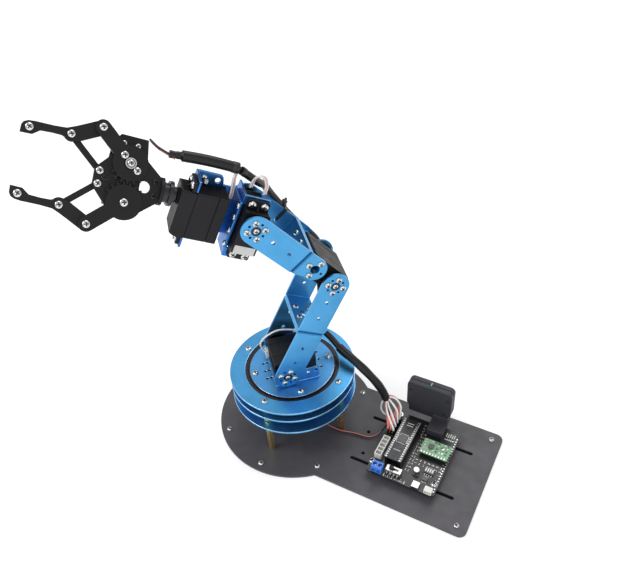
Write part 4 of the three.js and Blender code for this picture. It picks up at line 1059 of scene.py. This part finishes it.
def build_wiring():
    lead = in_arm(LEAD)
    lead = [lead[0] + (lead[0] - lead[1]) * 0.5, *lead, lead[-1] + (lead[-1] - lead[-2]) * 1.2]
    strands = [(c, shifted(lead, o)) for c, o in (("black", (0.3, -0.4, 0.9)), ("red", (0, 0, -0.5)),
                                                  ("red", (-0.5, 0.9, -0.2)))]
    bend = ("hand", "wrist", lead[0], lead[-1])
    wires("gripper_lead_wires", strands, None, bend, ["gripper_servo_lead"], 0.85)
    route = in_arm(WRIST_SLEEVE)
    sleeve("wrist_sleeve_braid", route, 4.3, "wrist_sleeve",
           lambda t: 0.66 + 0.04 * math.sin(60 * t) if t < 0.17 else 1.0, "wrist", None, (False, True))
    route = in_arm(FOREARM_SLEEVE)
    sleeve("forearm_sleeve_braid", route, 3.3, "forearm_sleeve", None, None,
           ("wrist", "forearm", route[0], route[4]), (True, False))
    band = tie(route[4].lerp(route[5], 0.52), route[5] - route[4], 3.4, 50)
    strap = [box((54.6, 57.4), (-24.4, -23.7), (-0.5, 12.9), None, 0.1, 0.2, FOREARM),
             box((54.6, 57.4), (-30, -23.7), (12.3, 13.0), None, 0.1, 0.2, FOREARM)]
    piece("forearm_tie", band + strap, [BLACK_PLASTIC], "forearm")
    bending = (
        ("elbow", in_arm(ELBOW_SLEEVE), 3.3, None, "forearm", "upper_arm", -1),
        ("upper_arm", in_arm(UPPER_ARM_SLEEVE), 3.3, None, "upper_arm", "turntable", -1),
        ("base", in_row(BASE_SLEEVE), 4.4, base_sleeve_shape, "turntable", "base", 5),
    )
    for name, route, radius, shape, first, second, last in bending:
        sleeve(f"{name}_sleeve_braid", route, radius, f"{name}_sleeve", shape, None,
               (first, second, route[0], route[last]), (False, False))
    pan = in_row(PAN_LEAD)
    pan += [Vector((90.5, 23.5, DECK + 21)), in_row(BASE_SLEEVE)[-1] + Vector((1.2, -0.8, 1))]
    strands = [(c, shifted(pan, o)) for c, o in (("red", (0, 0.2, 0.3)), ("black", (-0.3, -0.7, 0)),
                                                 ("black", (0.5, 0.9, 0)))]
    wires("pan_lead_wires", strands, "base", None, ["pan_servo_lead"], 0.5)

    # leads that fan out of the base sleeve: each is a ribbon of three wires that ends on the header
    end = in_row(BASE_SLEEVE)[-1]
    ribbons = (
        (1, [(86.5, 26.5, 27), (91.5, 19, 25)]),
        (3, [(88.5, 27.5, 27.5), (95, 20.5, 26)]),
        (5, [(91, 30, 30), (98.5, 25, 27)]),
        (7, [(92, 35, 32), (100, 30.5, 29)]),
    )
    fan = []
    for plug, bends in ribbons:
        for k, color in enumerate(("red", "red", "white")):
            top = Vector((HEADER_X + HEADER_STEP * k, header_row(plug), SEAT + 6.5))
            side = Vector((k - 1, 1 - k, 0.4 * (k - 1)))
            way = [Vector(p) + side for p in bends]
            fan.append((color, [end + side * 0.8 + Vector((0, 0, 3)), *way, top + Vector((0, 0, 4)), top]))
    loose = [(84.3, 30.5, 32), (82, 28.5, 28), (81.6, 26.5, 22), (84.5, 24, 18.5), (91, 21.5, 19),
             (97, 19, 20.5), (98.2, 18.6, SEAT + 6)]
    fan.append(("white", [Vector(p) for p in loose]))
    wires("header_leads", fan, "base", None, (), 0.95)

    # leads of the two wrist servos, up out of the brackets into the sleeves
    ribbon = [(0.9, 0.7, "white"), (0, 0, "red"), (-0.9, -0.7, "white"), (-1.6, -1.8, "white")]
    first = [(16.8, -8, 4), (17.3, -9, 12), (18.6, -10, 20), (18.2, -11.5, 26.5)]
    second = [(-8.5, -9, 14), (-8.4, -10, 20.5), (-5.2, -10.5, 26.5), (-1, -11.5, 27), (2.4, -12, 23),
              (3, -12, 16)]
    for name, path in (("roll_servo_lead", first), ("pitch_servo_lead", second)):
        strands = [(c, [WRIST @ Vector((x + dx, s + ds, n)) for x, s, n in path]) for dx, ds, c in ribbon]
        wires(name, strands, "wrist", None, (), 0.8)

    # white lead of the shoulder servo
    path = in_arm([[20.5, -18, 72.5], [23.6, -18, 79], [25.5, -17, 88], [20.5, -16, 96.5], [7, -16, 102],
                   [-8.9, -16, 97.8], [-16, -17, 93]])
    wires("shoulder_servo_lead", [("white", path)], "turntable", None, (), 0.85)
    plug = box((-1.6, 1.6), (-3.2, 3.2), (-2.4, 6.5), matrix=ARM @ move(20.5, -18, DECK + 71.6))
    piece("shoulder_lead_plug", [plug], [WHITE], "turntable")


# ---- solids kept from the frame ----


def finish_kept_solids():
    """The frame's own solids that show take a bevel and a finish."""
    kept = {
        "bearing_outer_race": (HORN_METAL, 0.3), "bearing_inner_race": (LINK_BLACK, 0.3),
        "pan_horn": (HORN_METAL, 0.3), "wrist_roll_horn": (HORN_METAL, 0.4),
        "gripper_horn": (HORN_METAL, 0.5), "palm_bracket": (LINK_BLACK, 0.25),
        "controller_board": (SOLDER_MASK, 0.12),
    }
    for end in ("horn", "idler"):
        kept.update({f"{joint}_{end}": (HORN_METAL, 0.25) for joint in ("shoulder", "elbow", "wrist_pitch")})
    for i in range(1, 5):
        kept.update({f"base_column_{i}": (BRASS, 0.3), f"ring_spacer_{i}": (BRASS, 0.3)})
    for name in ("drive_gear_link", "driven_gear_link", "upper_inner_link", "lower_inner_link",
                 "upper_finger", "lower_finger"):
        kept[name] = (LINK_BLACK, 0.4)
    for name, (material, width) in kept.items():
        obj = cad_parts[name]
        for holder in obj.material_slots:
            holder.link = "OBJECT"
            holder.material = material
        bevel = obj.modifiers.new("edges", "BEVEL")
        bevel.width, bevel.segments, bevel.limit_method = width * MM, 2, "ANGLE"
        bevel.angle_limit = math.radians(32)
        # black links get a lighter colour on their bevel faces: a painted edge highlight
        if material is LINK_BLACK:
            obj.data.materials.append(LINK_EDGE_HIGHLIGHT)
            obj.material_slots[-1].link = "OBJECT"
            obj.material_slots[-1].material = LINK_EDGE_HIGHLIGHT
            bevel.material = len(obj.material_slots) - 1


# ---- stage, light and camera ----


def build_stage():
    floor = bpy.data.meshes.new("floor")
    bm = bmesh.new()
    bmesh.ops.create_grid(bm, x_segments=8, y_segments=8, size=6)
    bm.to_mesh(floor)
    bm.free()
    paper = Nodes("paper", (0.80, 0.80, 0.80), 0.9, Emission_Color=(1, 1, 1, 1), Emission_Strength=0.30)
    paper.polish(paper.noise(6, 3), 0.03)
    floor.materials.append(paper.material)
    # a near-black patch on the floor below the plate: painted shadow, so that its slots look deep
    slot_shadow_patch = plate([rounded(60, 190, -50, 50, 4)], -0.15, -0.05, 0.02)
    shade = bpy.data.meshes.new("shade")
    copy_of(slot_shadow_patch, Matrix.Scale(MM, 4)).to_mesh(shade)
    shade.materials.append(SEAM_AND_SHADE_BLACK)
    linked("shade", shade)
    ground = linked("floor", floor)
    ground.location.z = -0.0002

    world = bpy.data.worlds.new("studio")
    world.use_nodes = True
    sky = world.node_tree.nodes["Background"]
    sky.inputs["Color"].default_value = (0.99, 0.99, 1.0, 1)
    sky.inputs["Strength"].default_value = 0.66
    bpy.context.scene.world = world

    def area(name, size, power, place, aim):
        light = bpy.data.lights.new(name, "AREA")
        light.shape, light.size, light.energy = "SQUARE", size, power
        lamp = linked(name, light)
        lamp.location = place
        lamp.rotation_euler = (Vector(aim) - Vector(place)).to_track_quat("-Z", "Y").to_euler()

    area("key", 2.0, 54, (-2.1, -1.7, 3.0), (0, 0, 0.12))
    area("fill", 2.4, 22, (2.0, -2.4, 1.8), (0.03, 0, 0.1))
    area("back", 2.4, 46, (0.1, 2.0, 3.4), (0.02, 0, 0.07))


def build_camera():
    camera = bpy.data.cameras.new("camera")
    camera.sensor_width, camera.lens = 36, 38.06
    camera.clip_start, camera.clip_end = 0.01, 50
    eye = linked("camera", camera)
    forward, right = Vector((-0.39824, 0.65219, -0.64502)), Vector((0.87714, 0.47649, -0.05976))
    up = right.cross(forward).normalized()
    turn = Matrix((right, up, -forward)).transposed()
    eye.matrix_world = Matrix.Translation(Vector((252.68, -362.69, 534.32 + DECK)) * MM) @ turn.to_4x4()
    bpy.context.scene.camera = eye
    bpy.context.scene.view_settings.view_transform = "Standard"


build_camera()
build_stage()
build_base()
build_turntable()
build_arm()
build_wrist()
build_hand()
build_board()
build_terminal()
build_connectors()
build_processor()
build_radio()
build_receiver()
build_wiring()
finish_kept_solids()
